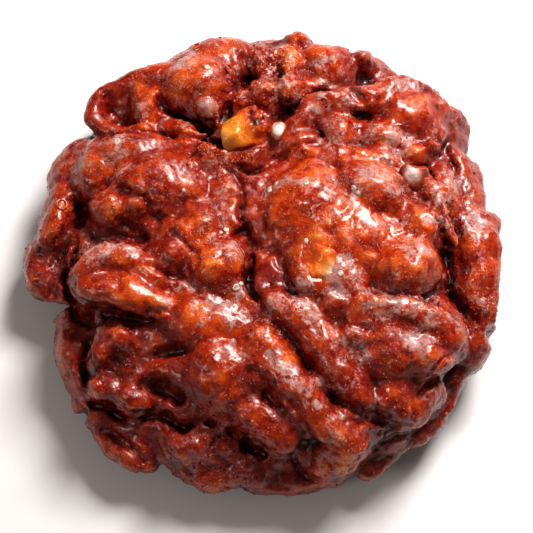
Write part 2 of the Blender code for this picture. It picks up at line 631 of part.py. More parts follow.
def give_material(thing):
    colour, roughness = MATERIALS[thing.name]
    material = bpy.data.materials.new(thing.name + "_surface")
    material.use_nodes = True
    shader = material.node_tree.nodes["Principled BSDF"]
    shader.inputs["Base Color"].default_value = (*colour, 1)
    shader.inputs["Roughness"].default_value = roughness
    shader.inputs["Metallic"].default_value = 0
    thing.data.materials.clear()
    thing.data.materials.append(material)
    thing.data.shade_smooth()


def main():
    clear_scene()
    noise.seed_set(SEED)
    dough = make_dough()
    cut_beds(dough)
    apples = [make_apple(row, seed) for seed, row in enumerate(APPLES)]
    place_on_origin([dough, *apples])
    for thing in [dough, *apples]:
        give_material(thing)
        print(thing.name, sum(len(face.vertices) - 2 for face in thing.data.polygons), "triangles")


main()
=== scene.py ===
# %% [markdown]
# # A glazed fritter with diced apple
# The real thing is a heap of chopped dough and diced apple, fried until its lobes have grown into
# each other, then dipped in thin sugar glaze. It could be sculpted by hand, but a rule is easier to
# read and to change: tables of lobes, folds and seams make the form, noise makes the crust, and
# node trees add the fine relief, the colour and the glaze.
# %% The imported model, units and small helpers
import math
import random

import bpy
import numpy as np
from mathutils import Euler, Matrix, Vector, noise


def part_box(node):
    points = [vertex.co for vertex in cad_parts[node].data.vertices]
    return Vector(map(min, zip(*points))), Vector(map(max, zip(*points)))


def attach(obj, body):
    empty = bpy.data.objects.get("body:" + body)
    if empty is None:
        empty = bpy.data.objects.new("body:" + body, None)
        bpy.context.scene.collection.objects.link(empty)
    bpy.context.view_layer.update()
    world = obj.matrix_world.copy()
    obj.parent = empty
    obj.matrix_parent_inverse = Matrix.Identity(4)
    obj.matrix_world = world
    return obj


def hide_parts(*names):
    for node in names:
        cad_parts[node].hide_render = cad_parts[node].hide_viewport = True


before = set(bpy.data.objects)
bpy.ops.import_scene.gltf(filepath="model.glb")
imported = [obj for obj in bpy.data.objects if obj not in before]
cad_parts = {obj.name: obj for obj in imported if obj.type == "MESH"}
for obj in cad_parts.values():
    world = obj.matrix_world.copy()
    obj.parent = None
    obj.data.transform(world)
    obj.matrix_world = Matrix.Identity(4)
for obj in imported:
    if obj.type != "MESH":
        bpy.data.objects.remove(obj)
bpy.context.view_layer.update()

MM = 0.001
SEED = 5
BODY = "root"
noise.seed_set(SEED)


# %% [markdown]
# Meshes are worked on as arrays of points in millimetres, because NumPy moves a hundred thousand
# points at once. A modifier is used for what Blender does better, such as joining shapes into one
# skin, and its result becomes a plain mesh straight away.
# %% Meshes as arrays
def into_scene(name, data):
    """A new object in the scene, at the origin."""
    thing = bpy.data.objects.new(name, data)
    bpy.context.scene.collection.objects.link(thing)
    return thing


def new_object(name, points, faces=(), edges=()):
    """A mesh object from points in millimetres."""
    mesh = bpy.data.meshes.new(name)
    mesh.from_pydata((np.asarray(points) * MM).tolist(), list(edges), [list(face) for face in faces])
    return into_scene(name, mesh)


def read_points(thing):
    points = np.empty(len(thing.data.vertices) * 3, np.float32)
    thing.data.vertices.foreach_get("co", points)
    return points.reshape(-1, 3).astype(float) / MM


def read_normals(thing):
    normals = np.empty(len(thing.data.vertices) * 3, np.float32)
    thing.data.vertex_normals.foreach_get("vector", normals)
    return normals.reshape(-1, 3).astype(float)


def write_points(thing, points):
    thing.data.vertices.foreach_set("co", (points * MM).astype(np.float32).ravel())
    thing.data.update()


def write_attribute(thing, name, values):
    """One number for each point, which the node trees and the materials read by name."""
    layer = thing.data.attributes.get(name) or thing.data.attributes.new(name, "FLOAT", "POINT")
    layer.data.foreach_set("value", np.asarray(values, np.float32))


def read_attribute(thing, name):
    values = np.empty(len(thing.data.vertices), np.float32)
    thing.data.attributes[name].data.foreach_get("value", values)
    return values.astype(float)


def apply_modifiers(thing):
    graph = bpy.context.evaluated_depsgraph_get()
    mesh = bpy.data.meshes.new_from_object(thing.evaluated_get(graph))
    thing.modifiers.clear()
    thing.data = mesh


def triangles(thing):
    return sum(len(face.vertices) - 2 for face in thing.data.polygons)


def ease(value):
    """A smooth step from 0 to 1."""
    value = np.clip(value, 0, 1)
    return value * value * (3 - 2 * value)


def polar(radius, angle):
    return radius * math.cos(angle), radius * math.sin(angle)


# %% [markdown]
# Geometry and shader trees are both drawn with the same few strokes: a noise, a pattern of cells, a
# sum, a blend. This small class holds those strokes, so that a tree reads like a formula. Patterns
# take their size in millimetres.
# %% A short way to build node trees
class Graph:
    """A node tree, with a method for each stroke. Each method returns a socket to join on."""

    def __init__(self, name, kind, inputs=(), outputs=()):
        self.tree = bpy.data.node_groups.new(name, kind)
        for way, rows in (("INPUT", inputs), ("OUTPUT", outputs)):
            for title, sort, *value in rows:
                socket = self.tree.interface.new_socket(title, in_out=way, socket_type="NodeSocket" + sort)
                if value:
                    socket.default_value = value[0]
        self.given = self.node("NodeGroupInput").outputs
        self.result = self.node("NodeGroupOutput").inputs

    def join(self, value, socket):
        if isinstance(value, bpy.types.NodeSocket):
            self.tree.links.new(value, socket)
        else:
            socket.default_value = value

    def node(self, kind, joins=(), **options):
        made = self.tree.nodes.new(kind)
        for name, option in options.items():
            setattr(made, name, option)
        for key, value in dict(joins).items():
            self.join(value, made.inputs[key])
        return made

    def math(self, operation, *values):
        return self.node("ShaderNodeMath", enumerate(values), operation=operation).outputs[0]

    def product(self, *values):
        result = values[0]
        for value in values[1:]:
            result = self.math("MULTIPLY", result, value)
        return result

    def vector(self, operation, *values):
        made = self.node("ShaderNodeVectorMath", operation=operation)
        for value, socket in zip(values, [s for s in made.inputs if s.enabled]):
            self.join(value, socket)
        return next(s for s in made.outputs if s.enabled)

    def total(self, *terms):
        """A sum of plain values and of (factor, value) pairs."""
        result = None
        for term in terms:
            value = self.product(*term) if isinstance(term, tuple) else term
            result = value if result is None else self.math("ADD", result, value)
        return result

    def step(self, value, low, high):
        """A smooth step: 0 at low, 1 at high, and the other way round where high is the lower one."""
        return self.node("ShaderNodeMapRange", {0: value, 1: low, 2: high},
                         interpolation_type="SMOOTHSTEP").outputs[0]

    def mix(self, factor, a, b):
        return self.node("ShaderNodeMix", {0: factor, 6: a, 7: b}, data_type="RGBA").outputs[2]

    def noise(self, place, size, detail=2.0, bend=0.0, rough=0.5):
        return self.node("ShaderNodeTexNoise", {
            "Vector": place, "Scale": 1 / size, "Detail": detail, "Roughness": rough,
            "Distortion": bend}).outputs[0]

    def swing(self, *noise):
        """The same noise, but about zero."""
        return self.math("SUBTRACT", self.noise(*noise), 0.5)

    def cells(self, place, size):
        """Distance to the nearest cell's middle and the cell's own colour, for cells of that size."""
        return self.node("ShaderNodeTexVoronoi", {
            "Vector": self.vector("DIVIDE", place, size), "Scale": 1.0}).outputs

    def ramp(self, value, stops):
        made = self.node("ShaderNodeValToRGB", {0: value})
        marks = made.color_ramp.elements
        while len(marks) < len(stops):
            marks.new(0.5)
        for mark, (place, colour) in zip(marks, stops):
            mark.position = place
            mark.color = (*colour, 1)
        return made.outputs[0]

    def group(self, tree, joins):
        """Places a shader group, and returns its outputs."""
        return self.node("ShaderNodeGroup", joins, node_tree=tree).outputs

    def named(self, name, sort="FLOAT"):
        """A value that was stored on the mesh, in a geometry tree."""
        return self.node("GeometryNodeInputNamedAttribute", {"Name": name}, data_type=sort).outputs[0]

    def store(self, geometry, name, value):
        return self.node("GeometryNodeStoreNamedAttribute", {
            "Geometry": geometry, "Name": name, "Value": value}).outputs[0]

    def move(self, geometry, offset):
        return self.node("GeometryNodeSetPosition", {"Geometry": geometry, "Offset": offset}).outputs[0]

    def realize(self, geometry):
        return self.node("GeometryNodeRealizeInstances", {0: geometry}).outputs[0]

    def finish(self, geometry, material):
        """Ends a geometry tree: copies become real mesh, in the given material."""
        made = self.node("GeometryNodeSetMaterial", {
            "Geometry": self.realize(geometry), "Material": material})
        self.join(made.outputs[0], self.result[0])
        return self.tree


# %% [markdown]
# The picture looks down steeply, about 75 degrees above the table, with a long lens. The light is a
# large soft one from the upper right, with a weak one opposite, so the lobes keep their round shape.
# %% Camera, lights and floor
VIEW_ELEVATION = math.radians(75)
VIEW_WIDTH = 134.6
LENS = 135
SENSOR = 36
AIM = (1.5, -3.26, 18)

# Lights: name, place, width, watts, colour
LIGHTS = (
    ("key", (240, 380, 550), 230, 4.85, (1.0, 0.97, 0.95)),
    ("rim", (330, 420, 220), 120, 0.35, (1.0, 0.98, 0.96)),
    ("fill", (-420, -260, 420), 150, 0.50, (1.0, 0.94, 0.90)),
)
WORLD_COLOUR = (1.0, 0.94, 0.90)
WORLD_STRENGTH = 0.14
FLOOR_COLOUR = (0.86, 0.86, 0.86)
FLOOR_ROUGHNESS = 0.8
FLOOR_WIDTH = 3000


def look_at(thing, place, target):
    thing.location = Vector(place) * MM
    thing.rotation_euler = (Vector(target) - Vector(place)).to_track_quat("-Z", "Y").to_euler()


def add_camera():
    data = bpy.data.cameras.new("camera")
    data.lens = LENS
    data.sensor_width = SENSOR
    camera = into_scene("camera", data)
    distance = VIEW_WIDTH * LENS / SENSOR
    back = Vector((0, -math.cos(VIEW_ELEVATION), math.sin(VIEW_ELEVATION)))
    look_at(camera, Vector(AIM) + back * distance, AIM)
    bpy.context.scene.camera = camera
    return distance


def add_light(name, place, width, watts, colour):
    data = bpy.data.lights.new(name, "AREA")
    data.size = width * MM
    data.energy = watts
    data.color = colour
    look_at(into_scene(name, data), place, AIM)


def add_world():
    world = bpy.data.worlds.new("studio")
    world.use_nodes = True
    background = world.node_tree.nodes["Background"]
    background.inputs["Color"].default_value = (*WORLD_COLOUR, 1)
    background.inputs["Strength"].default_value = WORLD_STRENGTH
    bpy.context.scene.world = world


def add_floor():
    half = FLOOR_WIDTH / 2
    corners = [(-half, -half, 0), (half, -half, 0), (half, half, 0), (-half, half, 0)]
    floor = new_object("floor", corners, [(0, 1, 2, 3)])
    material = bpy.data.materials.new("pale floor")
    material.use_nodes = True
    shader = material.node_tree.nodes["Principled BSDF"]
    shader.inputs["Base Color"].default_value = (*FLOOR_COLOUR, 1)
    shader.inputs["Roughness"].default_value = FLOOR_ROUGHNESS
    floor.data.materials.append(material)


print("The camera stands", round(add_camera()), "mm away")
for row in LIGHTS:
    add_light(*row)
add_world()
add_floor()
bpy.context.scene.view_settings.view_transform = "Standard"
bpy.context.scene.view_settings.look = "High Contrast"


# %% [markdown]
# The form of the dough is worked out again here, in the same millimetres as the solid that carries
# it, only finer. Each lobe is a squashed ball, with its place, its top and how far it goes down.
# They could be modelled one by one, but a table keeps them easy to read and to move.
# %% The lobes
# Flat discs that fill the middle: top, width, half height
CORE_DISCS = ((33, 94, 13), (27, 106, 12), (21.5, 112, 9.25))
CORE_Y = 1

# Lobes: name, x, y, top, length, width, turn in degrees, half height
LOBES = (
    # The big mass right of the middle
    ("crown_main", 18, 4, 38.5, 45, 34, -22, 12),
    ("crown_shoulder", 9, 12, 38, 27, 19, 50, 10),
    ("crown_ridge", 27, 15, 39.3, 23, 15, -22, 9),
    ("crown_boss", 34, -4, 41, 19, 17, 0, 10),
    ("crown_pad", 18, -5, 38.5, 22, 16, -50, 9),
    ("crown_edge", 38, 7, 37.5, 16, 12, -60, 9),
    # Front right
    ("front_right", 31, -21, 36.5, 33, 26, -18, 12),
    ("front_right_boss", 39, -26, 38, 15, 11, -10, 9),
    ("front_right_mid", 24, -20, 37, 18, 13, -30, 8),
    ("front_right_low", 32, -35, 31, 27, 16, 12, 10),
    ("front_right_edge", 44, -18, 34, 20, 10, -70, 9),
    ("front_right_foot", 26, -40, 27.5, 20, 12, 30, 9),
    ("front_right_skirt", 42, -25, 20, 20, 15, -50, 8.5),
    ("front_skirt", 30, -42, 18, 23, 13, 30, 7.5),
    # Front middle
    ("front_mass", -10, -28, 34, 21, 25, 10, 11),
    ("front_link", -1, -25, 35, 15, 22, 0, 10),
    ("front_tongue", -1, -40, 30.5, 23, 12, -42, 9),
    ("front_body", 10, -35, 32.5, 22, 20, -40, 11),
    ("front_tip", 19, -46.5, 27.5, 17, 14, 30, 10),
    ("front_heel", 16, -50.5, 20, 15, 9, 15, 9),
    # Left
    ("left_back", -25, 18, 36, 30, 20, -12, 11),
    ("left_back_rim", -33, 27, 33, 24, 12, 5, 9),
    ("left_shoulder", -42, 24, 31, 14, 19, -30, 10),
    ("nodule_large", -38, 12, 34, 12, 12, 0, 9),
    ("nodule_small", -31, 12, 34.5, 9, 8, 0, 7),
    ("left_mid", -18, 6, 35.5, 19, 14, 20, 9),
    ("left_knob", -23, 0, 35, 13, 11, 0, 8),
    ("left_boss", -11, -3, 37, 17, 18, 10, 9),
    ("left_low", -14, -17, 35, 30, 16, -8, 10),
    ("left_pad", -36, -7, 33, 27, 16, -10, 9),
    ("left_rim", -52, 14, 25, 27, 11, 76, 11),
    ("left_ear", -56.5, 1, 19, 17, 11, 97, 7.5),
    ("left_rim_low", -45, 3, 26, 17, 12, 80, 11.5),
    # Front left
    ("front_left_a", -35, -21, 30, 16, 12, -10, 9),
    ("front_left_b", -39.5, -24, 28.5, 11, 9, 0, 8),
    ("front_left_e", -39.5, -31.5, 26.5, 9.5, 8.5, 0, 8),
    ("front_left_f", -33, -34.5, 27, 12, 9, -30, 8),
    ("front_left_c", -31, -28, 27, 14, 15, 20, 9),
    ("front_left_d", -21, -23, 30, 17, 11, -15, 8),
    ("left_front_rim_a", -48, -20, 20, 17, 12, 95, 8),
    ("left_front_rim_b", -45, -27, 18, 18, 11, 115, 7.5),
    ("left_front_rim_c", -42, -36, 16, 17, 9, -48, 6.5),
    ("left_front_rim_d", -35.5, -43, 15.5, 22, 12, -42, 6),
    ("lower_tier_a", -30, -38, 19, 20, 12, -30, 8),
    ("lower_tier_b", -18, -44, 22, 20, 13, -12, 9),
    ("lower_tier_c", -4, -48, 19, 21, 14, -10, 8),
    ("front_rim_a", -16, -49, 15.5, 23, 11, -24, 6),
    ("front_rim_b", 5, -52.5, 14.5, 23, 10, 3, 5.5),
    # Back
    ("back_left", -17, 46, 32, 24, 21, 10, 12),
    ("back_left_top", -12, 53.5, 28, 26, 14, 8, 11),
    ("back_left_tip", -15, 38, 31.5, 11, 8, 0, 8),
    ("back_mid_a", -1, 53, 27.5, 13, 11, 10, 9),
    ("back_mid_b", 6, 43, 32, 10, 9, 0, 7),
    ("back_mid_c", -1, 43, 31.5, 10, 9, 0, 7),
    ("back_mid_d", -7, 41, 31, 10, 9, 0, 8),
    ("back_mid_e", 6, 52, 28.5, 10, 13, 0, 8),
    ("back_peak", 8.5, 60.5, 24, 7.5, 6.5, 0, 7),
    ("back_floor", 9, 44, 28, 37, 17, 0, 12),
    ("back_skirt", 6, 56, 21, 36, 13, -2, 8.5),
    ("back_right_skirt", 26, 51.5, 20, 26, 15, -28, 8),
    ("back_left_skirt", -48, 25, 24, 22, 14, 62, 10),
    ("back_right_lobe", 16, 52, 29, 17, 14, -15, 10),
    ("back_right_small", 25.5, 53, 26, 7.5, 6.5, 30, 7),
    ("crown_foot", 11.5, -12.5, 35, 11, 9, -30, 8),
    ("behind_crown_a", 9, 28.5, 34.5, 15, 12, 10, 9),
    ("behind_crown_b", 19, 31, 34.8, 14, 12, -10, 9),
    ("behind_crown_c", 29, 30, 34, 15, 13, -20, 9),
    ("behind_ridge", 22, 23.5, 34.8, 32, 10, -8, 8),
    ("behind_pale", 37, 26, 33.5, 10, 8, -20, 8),
    ("back_right", 35, 37, 33, 27, 19, -38, 12),
    ("back_right_bump", 41, 28, 33.5, 6, 5, 0, 5),
    ("back_ear", -35, 42, 23, 23, 17, 30, 9.5),
    ("ear_web", -29, 41, 27.5, 12, 13, 60, 8),
    ("apple_bed_a", -4, 25, 33, 20, 11, 20, 8),
    ("apple_bed_b", -13, 25, 33.5, 11, 11, 0, 8),
    ("apple_bed_c", 3, 30, 33, 15, 11, 30, 9),
    # Right
    ("right_lumps", 44, 17, 32, 21, 11, -72, 10),
    ("right_lump_low", 38, 11, 34, 11, 11, 0, 8),
    ("right_back_flank", 42, 33, 25, 17, 24, -50, 11),
    ("right_flank", 50, 16, 26, 14, 27, 0, 11.5),
    ("right_body", 50, -2, 27, 14, 32, -4, 12),
    ("right_nub", 55, 10, 26, 10, 8, 20, 7),
    ("right_fill", 45, -3, 25, 12, 32, -4, 12),
    ("right_low_body", 50, -18, 25, 15, 20, -20, 11),
)
print(len(LOBES), "lobes over", len(CORE_DISCS), "discs")


# %% [markdown]
# Where the dough was pulled or rolled over, it lies in folds, like short thick ropes. A few points
# with a radius are enough, as a smooth curve through them fills in the rest.
# %% The folds
# Folds of dough lying over the heap: name, flatness, then x, y, top, radius along each
FOLDS = (
    ("long_fold", 0.8, ((-1, -22, 35.5, 4), (6, -32, 35, 5), (14, -41, 32, 5), (21, -46, 28.5, 4.5))),
    ("inner_fold", 0.8, ((3, -13, 36.3, 4), (10, -18, 36.8, 4.5), (17, -27, 35.3, 4.5), (23, -37, 32.3, 4))),
    ("brow_fold", 0.7, ((17, -14, 37.5, 3.5), (29, -14, 38.5, 4), (39, -16, 38, 4), (45, -22, 35, 3.5))),
    ("fruit_bed", 0.9, ((10, 1.5, 37.4, 2.2), (8, -3, 37.2, 2.4), (10, -8.5, 36.8, 2.4),
                        (15, -10.5, 37, 2.2))),
    ("back_brow", 0.8, ((8, 33, 34, 3), (15, 39, 34, 3.5), (25, 40, 34, 3.5), (35, 44, 31, 3.5),
                        (43, 40, 28, 4))),
    ("right_back_rim", 0.9, ((40, 43, 23, 4.5), (43, 32, 23.5, 5), (47.5, 25.5, 25, 5), (48.5, 19, 25, 5))),
    ("right_ridge", 0.8, ((38.5, 20, 34.5, 1.8), (41.5, 14.5, 34.8, 2.6), (43.5, 8, 34.5, 2.6),
                          (45.5, 2.5, 33, 2.2))),
    ("right_rim", 0.8, ((48, 14, 28, 5), (52, 7, 29, 6), (53, -7, 28, 6), (52.5, -16, 25, 5))),
    ("fringe", 0.9, ((51, -20, 19, 4.5), (46, -28, 17, 4.5), (41, -38, 16, 4.5), (34, -42, 15, 4.5),
                     (26, -49, 13, 4.5))),
    ("left_ridge", 0.8, ((-44, -4, 34, 3), (-39, -1, 35.5, 3.5), (-32, -2, 35, 3), (-26, -7, 34, 2.5))),
    ("left_tongue", 0.8, ((-43, -9, 33.5, 3.5), (-35, -10, 35.5, 4.5), (-25, -14, 34.5, 3))),
    ("ear_curl", 0.9, ((-30, 33.5, 27, 2.5), (-37, 33, 25.5, 2.5), (-43, 36, 24, 2.5),
                       (-43.5, 41.5, 24, 2.5), (-39, 45, 25, 2.5), (-32, 48, 26, 3), (-26, 50, 27, 3))),
)
print(len(FOLDS), "folds")


# %% [markdown]
# Where two lobes grew into each other, a seam is left, and here and there a hollow. Pressed in from
# above along wandering lines, they look like neither cuts nor grooves.
# %% The seams
# All seams' share of their listed width and depth. They wander off their lines by slow and quick
# noise, given as size and reach, and fade out towards the base
SEAM_WIDTH = 0.8
SEAM_DEPTH = 0.62
SEAM_WANDER = ((7, 2.2), (2.8, 0.8))
SEAM_BASE = 3
SEAM_FADE = 8
SEAM_MARGIN = 12
SEAM_TILT = 0.3

# Seams and hollows pressed in from above: name, then x, y, half width, depth along each
SEAMS = (
    ("crown_left", ((-7, 20, 1.5, 4), (-5, 11, 1.8, 6), (-4, 2, 2, 7), (-3, -8, 2.8, 12),
                    (-1, -14, 1.8, 4))),
    ("crown_cross", ((-11, 3, 1, 2), (-6, 5, 2, 6), (-1, 2, 2.5, 4))),
    ("back_left", ((-44, 32, 1.5, 3), (-29, 31.5, 1.8, 5), (-19, 30.5, 2, 6), (-12, 29, 2.5, 8),
                   (-8, 29, 1.5, 4))),
    ("beside_ear", ((-27.3, 42.5, 1.6, 5), (-22, 38.5, 2, 9), (-18, 36, 2.4, 11), (-13.5, 32, 2.4, 9))),
    ("behind_crown", ((-4, 21, 2, 6), (4, 24, 1.8, 4), (9, 26, 1.5, 2.5), (17, 25.5, 1.5, 1.5),
                      (27, 23, 1.5, 1.5), (33, 20.5, 1.8, 3))),
    ("hole_by_apple", ((3, 35, 2, 7), (6, 39, 2, 7))),
    ("below_nodules", ((-35, 8, 2, 3.5), (-31, 5, 3, 5), (-38, 3, 2, 3), (-43, 4, 1.5, 3))),
    ("left_back_lower", ((-47, 18, 1.5, 4), (-43, 14, 2, 4), (-35, 16, 1.5, 3), (-26, 11, 2, 3),
                         (-18, 9, 1.5, 2))),
    ("left_rim", ((-48, 15, 1.5, 3), (-47, 6, 1.5, 4), (-49, 0, 2, 7), (-49, -8, 3, 9),
                  (-44, -16, 2, 6))),
    ("left_front_rim", ((-45, -20, 1.5, 4), (-44.5, -26, 1.6, 6), (-43, -33, 1.8, 6), (-37, -38.5, 2, 5),
                        (-28, -39, 2, 5))),
    ("front_left_gap", ((-43, -28, 1.2, 3), (-37, -28, 1.2, 4), (-35, -32, 1.2, 3))),
    ("under_tongue", ((-45, -14, 1.5, 5), (-38, -15.5, 1.5, 6), (-30, -16.5, 1.5, 5),
                      (-23, -16, 1.2, 2))),
    ("left_boss_low", ((-28, -5, 1.5, 3), (-23, -5, 1.5, 4), (-18, -8, 1.5, 3),
                       (-15, -13, 1.5, 2))),
    ("left_boss_top", ((-23, 4, 1.5, 3), (-17, 1, 1.5, 3), (-16, -3, 1.5, 2))),
    ("front_left_hole", ((-27, -23.5, 2.5, 6), (-20, -24, 2.5, 6))),
    ("front_left_pit", ((-29, -31.5, 3, 4), (-24.5, -33.5, 4.5, 8), (-20, -35, 3, 6))),
    ("lip_a", ((-26, -39, 2, 5), (-20, -41, 2.5, 7), (-14, -42, 2, 6))),
    ("lip_b", ((-9, -43, 3, 9), (-3, -46, 2.5, 9), (0, -49, 2, 5))),
    ("lip_c", ((7, -50, 2, 5), (13, -53, 2, 5))),
    ("rim_seam", ((-40, -41, 2, 3), (-35, -45, 2.5, 5), (-29, -49, 2, 3))),
    ("tongue_side", ((-1, -30, 1.5, 2), (4, -36, 2, 4), (9, -42, 2, 5), (11, -46, 1.5, 3))),
    ("front_gully", ((13, -33, 2, 3), (20, -37, 2.5, 6), (27, -41, 3, 7), (33, -42, 2, 5),
                     (26, -45, 2, 4))),
    ("between_folds", ((6, -22, 1, 1), (10, -27, 1.2, 1.5), (14, -32, 1.2, 1.5))),
    ("front_right_dent", ((21, -19, 2, 3), (26, -21, 2, 4))),
    ("crown_front", ((16, -11, 1.5, 1.5), (24, -12, 1.5, 2), (32, -12, 2, 2.2), (41, -14, 2, 3.5))),
    ("crown_fall", ((-1, 2, 1.5, 2), (5, -6, 1.5, 2), (8, -11, 1.5, 1.5))),
    ("boss_ring", ((27, -1, 1.5, 1.5), (28, -8, 1.5, 2), (32, -12, 1.5, 2))),
    ("right_rim", ((43, 6, 1.5, 4), (44.5, 3, 2, 6), (46, -6, 2, 7), (48, -13, 2, 6),
                   (50, -19, 1.5, 3))),
    ("right_fringe", ((47, -24, 1.5, 3), (42, -30, 2, 4), (37, -36, 2, 4))),
    ("right_back_rim", ((46, 31, 1.5, 3), (48, 25, 1.5, 5), (47, 16, 1.5, 3))),
    ("back_right_hollow", ((20, 41, 1.5, 3), (24, 38.5, 2.2, 4.5), (27, 36, 1.8, 3), (29, 34.5, 1.5, 1.5))),
    ("behind_dimple", ((12, 33, 1.2, 3), (14, 31, 2, 6), (15, 29.5, 1.2, 3))),
    ("back_right_line", ((8, 39, 1.5, 3), (13, 42, 1.5, 5), (20, 45, 1.5, 4), (23, 49, 1.3, 4),
                         (24, 53, 1, 2))),
    ("back_split", ((-5, 57, 1.5, 2), (-5, 48, 1.5, 3), (-8, 43, 2, 4), (-11, 36, 2, 6))),
    ("back_left_pits", ((-10, 53, 1.5, 3), (-10, 46, 2, 3))),
    ("ear_bowl", ((-39.5, 41.5, 3.2, 3), (-37.5, 38.5, 4, 4.5), (-35, 38.5, 3, 3.5))),
    ("right_wrinkle", ((33, 16, 1.5, 3), (37, 13, 2, 4), (42, 9, 1.5, 4))),
    ("back_right_wrinkle", ((20, 27, 1.2, 1.5), (26, 26.5, 1.2, 2), (33, 28, 1.2, 2.5), (40, 29, 1.5, 3))),
)

# Notches in the outline, pressed in from the side: name, x, y at the outline, half width, depth
NOTCHES = (
    ("below_ear", -54.5, -10.5, 2.6, 5.5),
    ("below_nub", -47, -37.5, 2.2, 3.5),
    ("back_gap", 23, 57, 2, 3),
    ("right_step", 56, -19, 2, 2),
    ("front_dip", -8, -58, 4, 2),
)
print(len(SEAMS), "seams and", len(NOTCHES), "notches")


# %% [markdown]
# Frying dries the skin into cobbles with creases between them, more in some places than in others.
# Cells and noise give both. The whole is warped a little as well, as no hand-formed lobe is even.
# %% The crust's unevenness
# Places where the crust is cobbled most: name, x, y, radius, strength
ROUGH_PLACES = (
    ("back", 1, 47, 21, 0.8),
    ("by_apple", -10, 29, 18, 0.8),
    ("left_shoulder", -45, 23, 15, 0.4),
    ("nodules", -29, 10, 21, 0.45),
    ("right", 43, 14, 20, 0.55),
    ("back_right", 29, 40, 21, 0.3),
    ("front_right", 30, -24, 28, 0.35),
    ("front_right_low", 28, -43, 21, 0.5),
    ("front_left", -38, -31, 21, 0.4),
    ("front", -11, -48, 28, 0.6),
    ("middle", 1, -17, 14, 0.45),
    ("crown_edge", 33, 6, 14, 0.4),
    ("left_boss", -14, 1, 14, 0.45),
    ("front_tip", 18, -51, 14, 0.5),
    ("right_rim", 53, -12, 14, 0.5),
    ("left_rim", -52, 1, 14, 0.45),
)
ROUGH_EVERYWHERE = 0.28
ROUGH_GAIN = 1.2

# The crust: cobbles of two cell sizes and heights, about their mean height, on coordinates bent by
# noise of a size and a reach. Then the winding creases between them, and the fine grain
COBBLES = ((7.0, 2.2), (3.6, 1.3))
COBBLE_MEAN = 0.45
BEND_SIZE = 4
BEND_REACH = 0.8
CREASE_SIZE = 9
CREASE_WIDTH = 0.13
CREASE_DEPTH = 1.2
GRAIN_SIZE = 1.9
GRAIN_HEIGHT = 0.3

# The warp of the whole: size, reach and where the noise is read
WARPS = ((14, 1.1, (0, 0, 0)), (6, 0.7, (7, 3, 1)))

# Below this height nothing moves up or down, and above it the crust's full height fades in
FLAT_HEIGHT = 0.4
FLAT_FADE = 3
print(len(ROUGH_PLACES), "places where the crust is cobbled")


# %% [markdown]
# The underside was never seen. It is lobed too, and its feet are cut flat where the fritter lies.
# %% The underside
# The underside, each drawn size with its least and most: lobes round the rim, feet with the flat
# spots that the fritter lies on, in rings of a count and a radius, and bumps between them
RIM_COUNT = 16
RIM_SWING = (-0.1, 0.1)
RIM_RADIUS = (45, 48)
RIM_TOP = (15, 18)
RIM_LENGTH = (20, 27)
RIM_WIDTH = (15, 19)
RIM_DEPTH = (5.5, 6.5)
FOOT_RINGS = ((1, 0), (4, 19), (8, 35))
FOOT_SWING = (-0.25, 0.25)
FOOT_SHIFT = (-3, 3)
FOOT_LENGTH = (20, 33)
FOOT_WIDTH = (13, 20)
FOOT_TOP = 16
FOOT_DEPTH = 8.4
BUMP_COUNT = 26
BUMP_REACH = 42
BUMP_LENGTH = (10, 22)
BUMP_WIDTH = (8, 14)
BUMP_DEPTH = (7, 7.9)
print(sum(count for count, _ in FOOT_RINGS), "feet,", RIM_COUNT, "rim lobes and", BUMP_COUNT, "bumps")


# %% [markdown]
# A stretched and turned ball makes a lobe, and a row of balls along a smooth curve makes a fold. An
# object for each would be slow, so their points are gathered into one mesh. They may overlap as they
# like, because the skin that comes later joins them.
# %% Balls, smooth curves and the heap
CORE_DETAIL = 6
LOBE_DETAIL = 4
FOLD_DETAIL = 3


def along(points, step=1.5):
    """A smooth curve through the points, read about every step millimetres."""
    rows = [np.array(point, float) for point in points]
    rows = [2 * rows[0] - rows[1]] + rows + [2 * rows[-1] - rows[-2]]
    for before, start, end, after in zip(rows, rows[1:], rows[2:], rows[3:]):
        count = max(2, int(np.linalg.norm((end - start)[:3]) / step))
        for index in range(count):
            t = index / count
            yield 0.5 * (2 * start + (end - before) * t
                         + (2 * before - 5 * start + 4 * end - after) * t ** 2
                         + (3 * start - before - 3 * end + after) * t ** 3)
    yield rows[-2]


class Heap:
    """Rounded lobes gathered into one mesh before they are skinned."""

    def __init__(self):
        self.points = []
        self.faces = []
        self.count = 0
        self.balls = {}

    def ball(self, detail):
        """The points and faces of a unit ball."""
        if detail not in self.balls:
            bpy.ops.mesh.primitive_ico_sphere_add(subdivisions=detail, radius=1)
            source = bpy.context.object
            points = np.array([vertex.co for vertex in source.data.vertices])
            faces = np.array([face.vertices for face in source.data.polygons])
            bpy.data.objects.remove(source)
            self.balls[detail] = (points, faces)
        return self.balls[detail]

    def lobe(self, x, y, top, length, width, turn, depth, detail=LOBE_DETAIL):
        points, faces = self.ball(detail)
        points = points * (length / 2, width / 2, depth)
        spin = np.array(Matrix.Rotation(math.radians(turn), 3, "Z"))
        self.points.append(points @ spin.T + (x, y, top - depth))
        self.faces.append(faces + self.count)
        self.count += len(points)

    def fold(self, flatness, points):
        for x, y, top, radius in along(points):
            self.lobe(x, y, top, 2 * radius, 2 * radius, 0, radius * flatness, FOLD_DETAIL)

    def make(self, name):
        return new_object(name, np.concatenate(self.points), np.concatenate(self.faces))


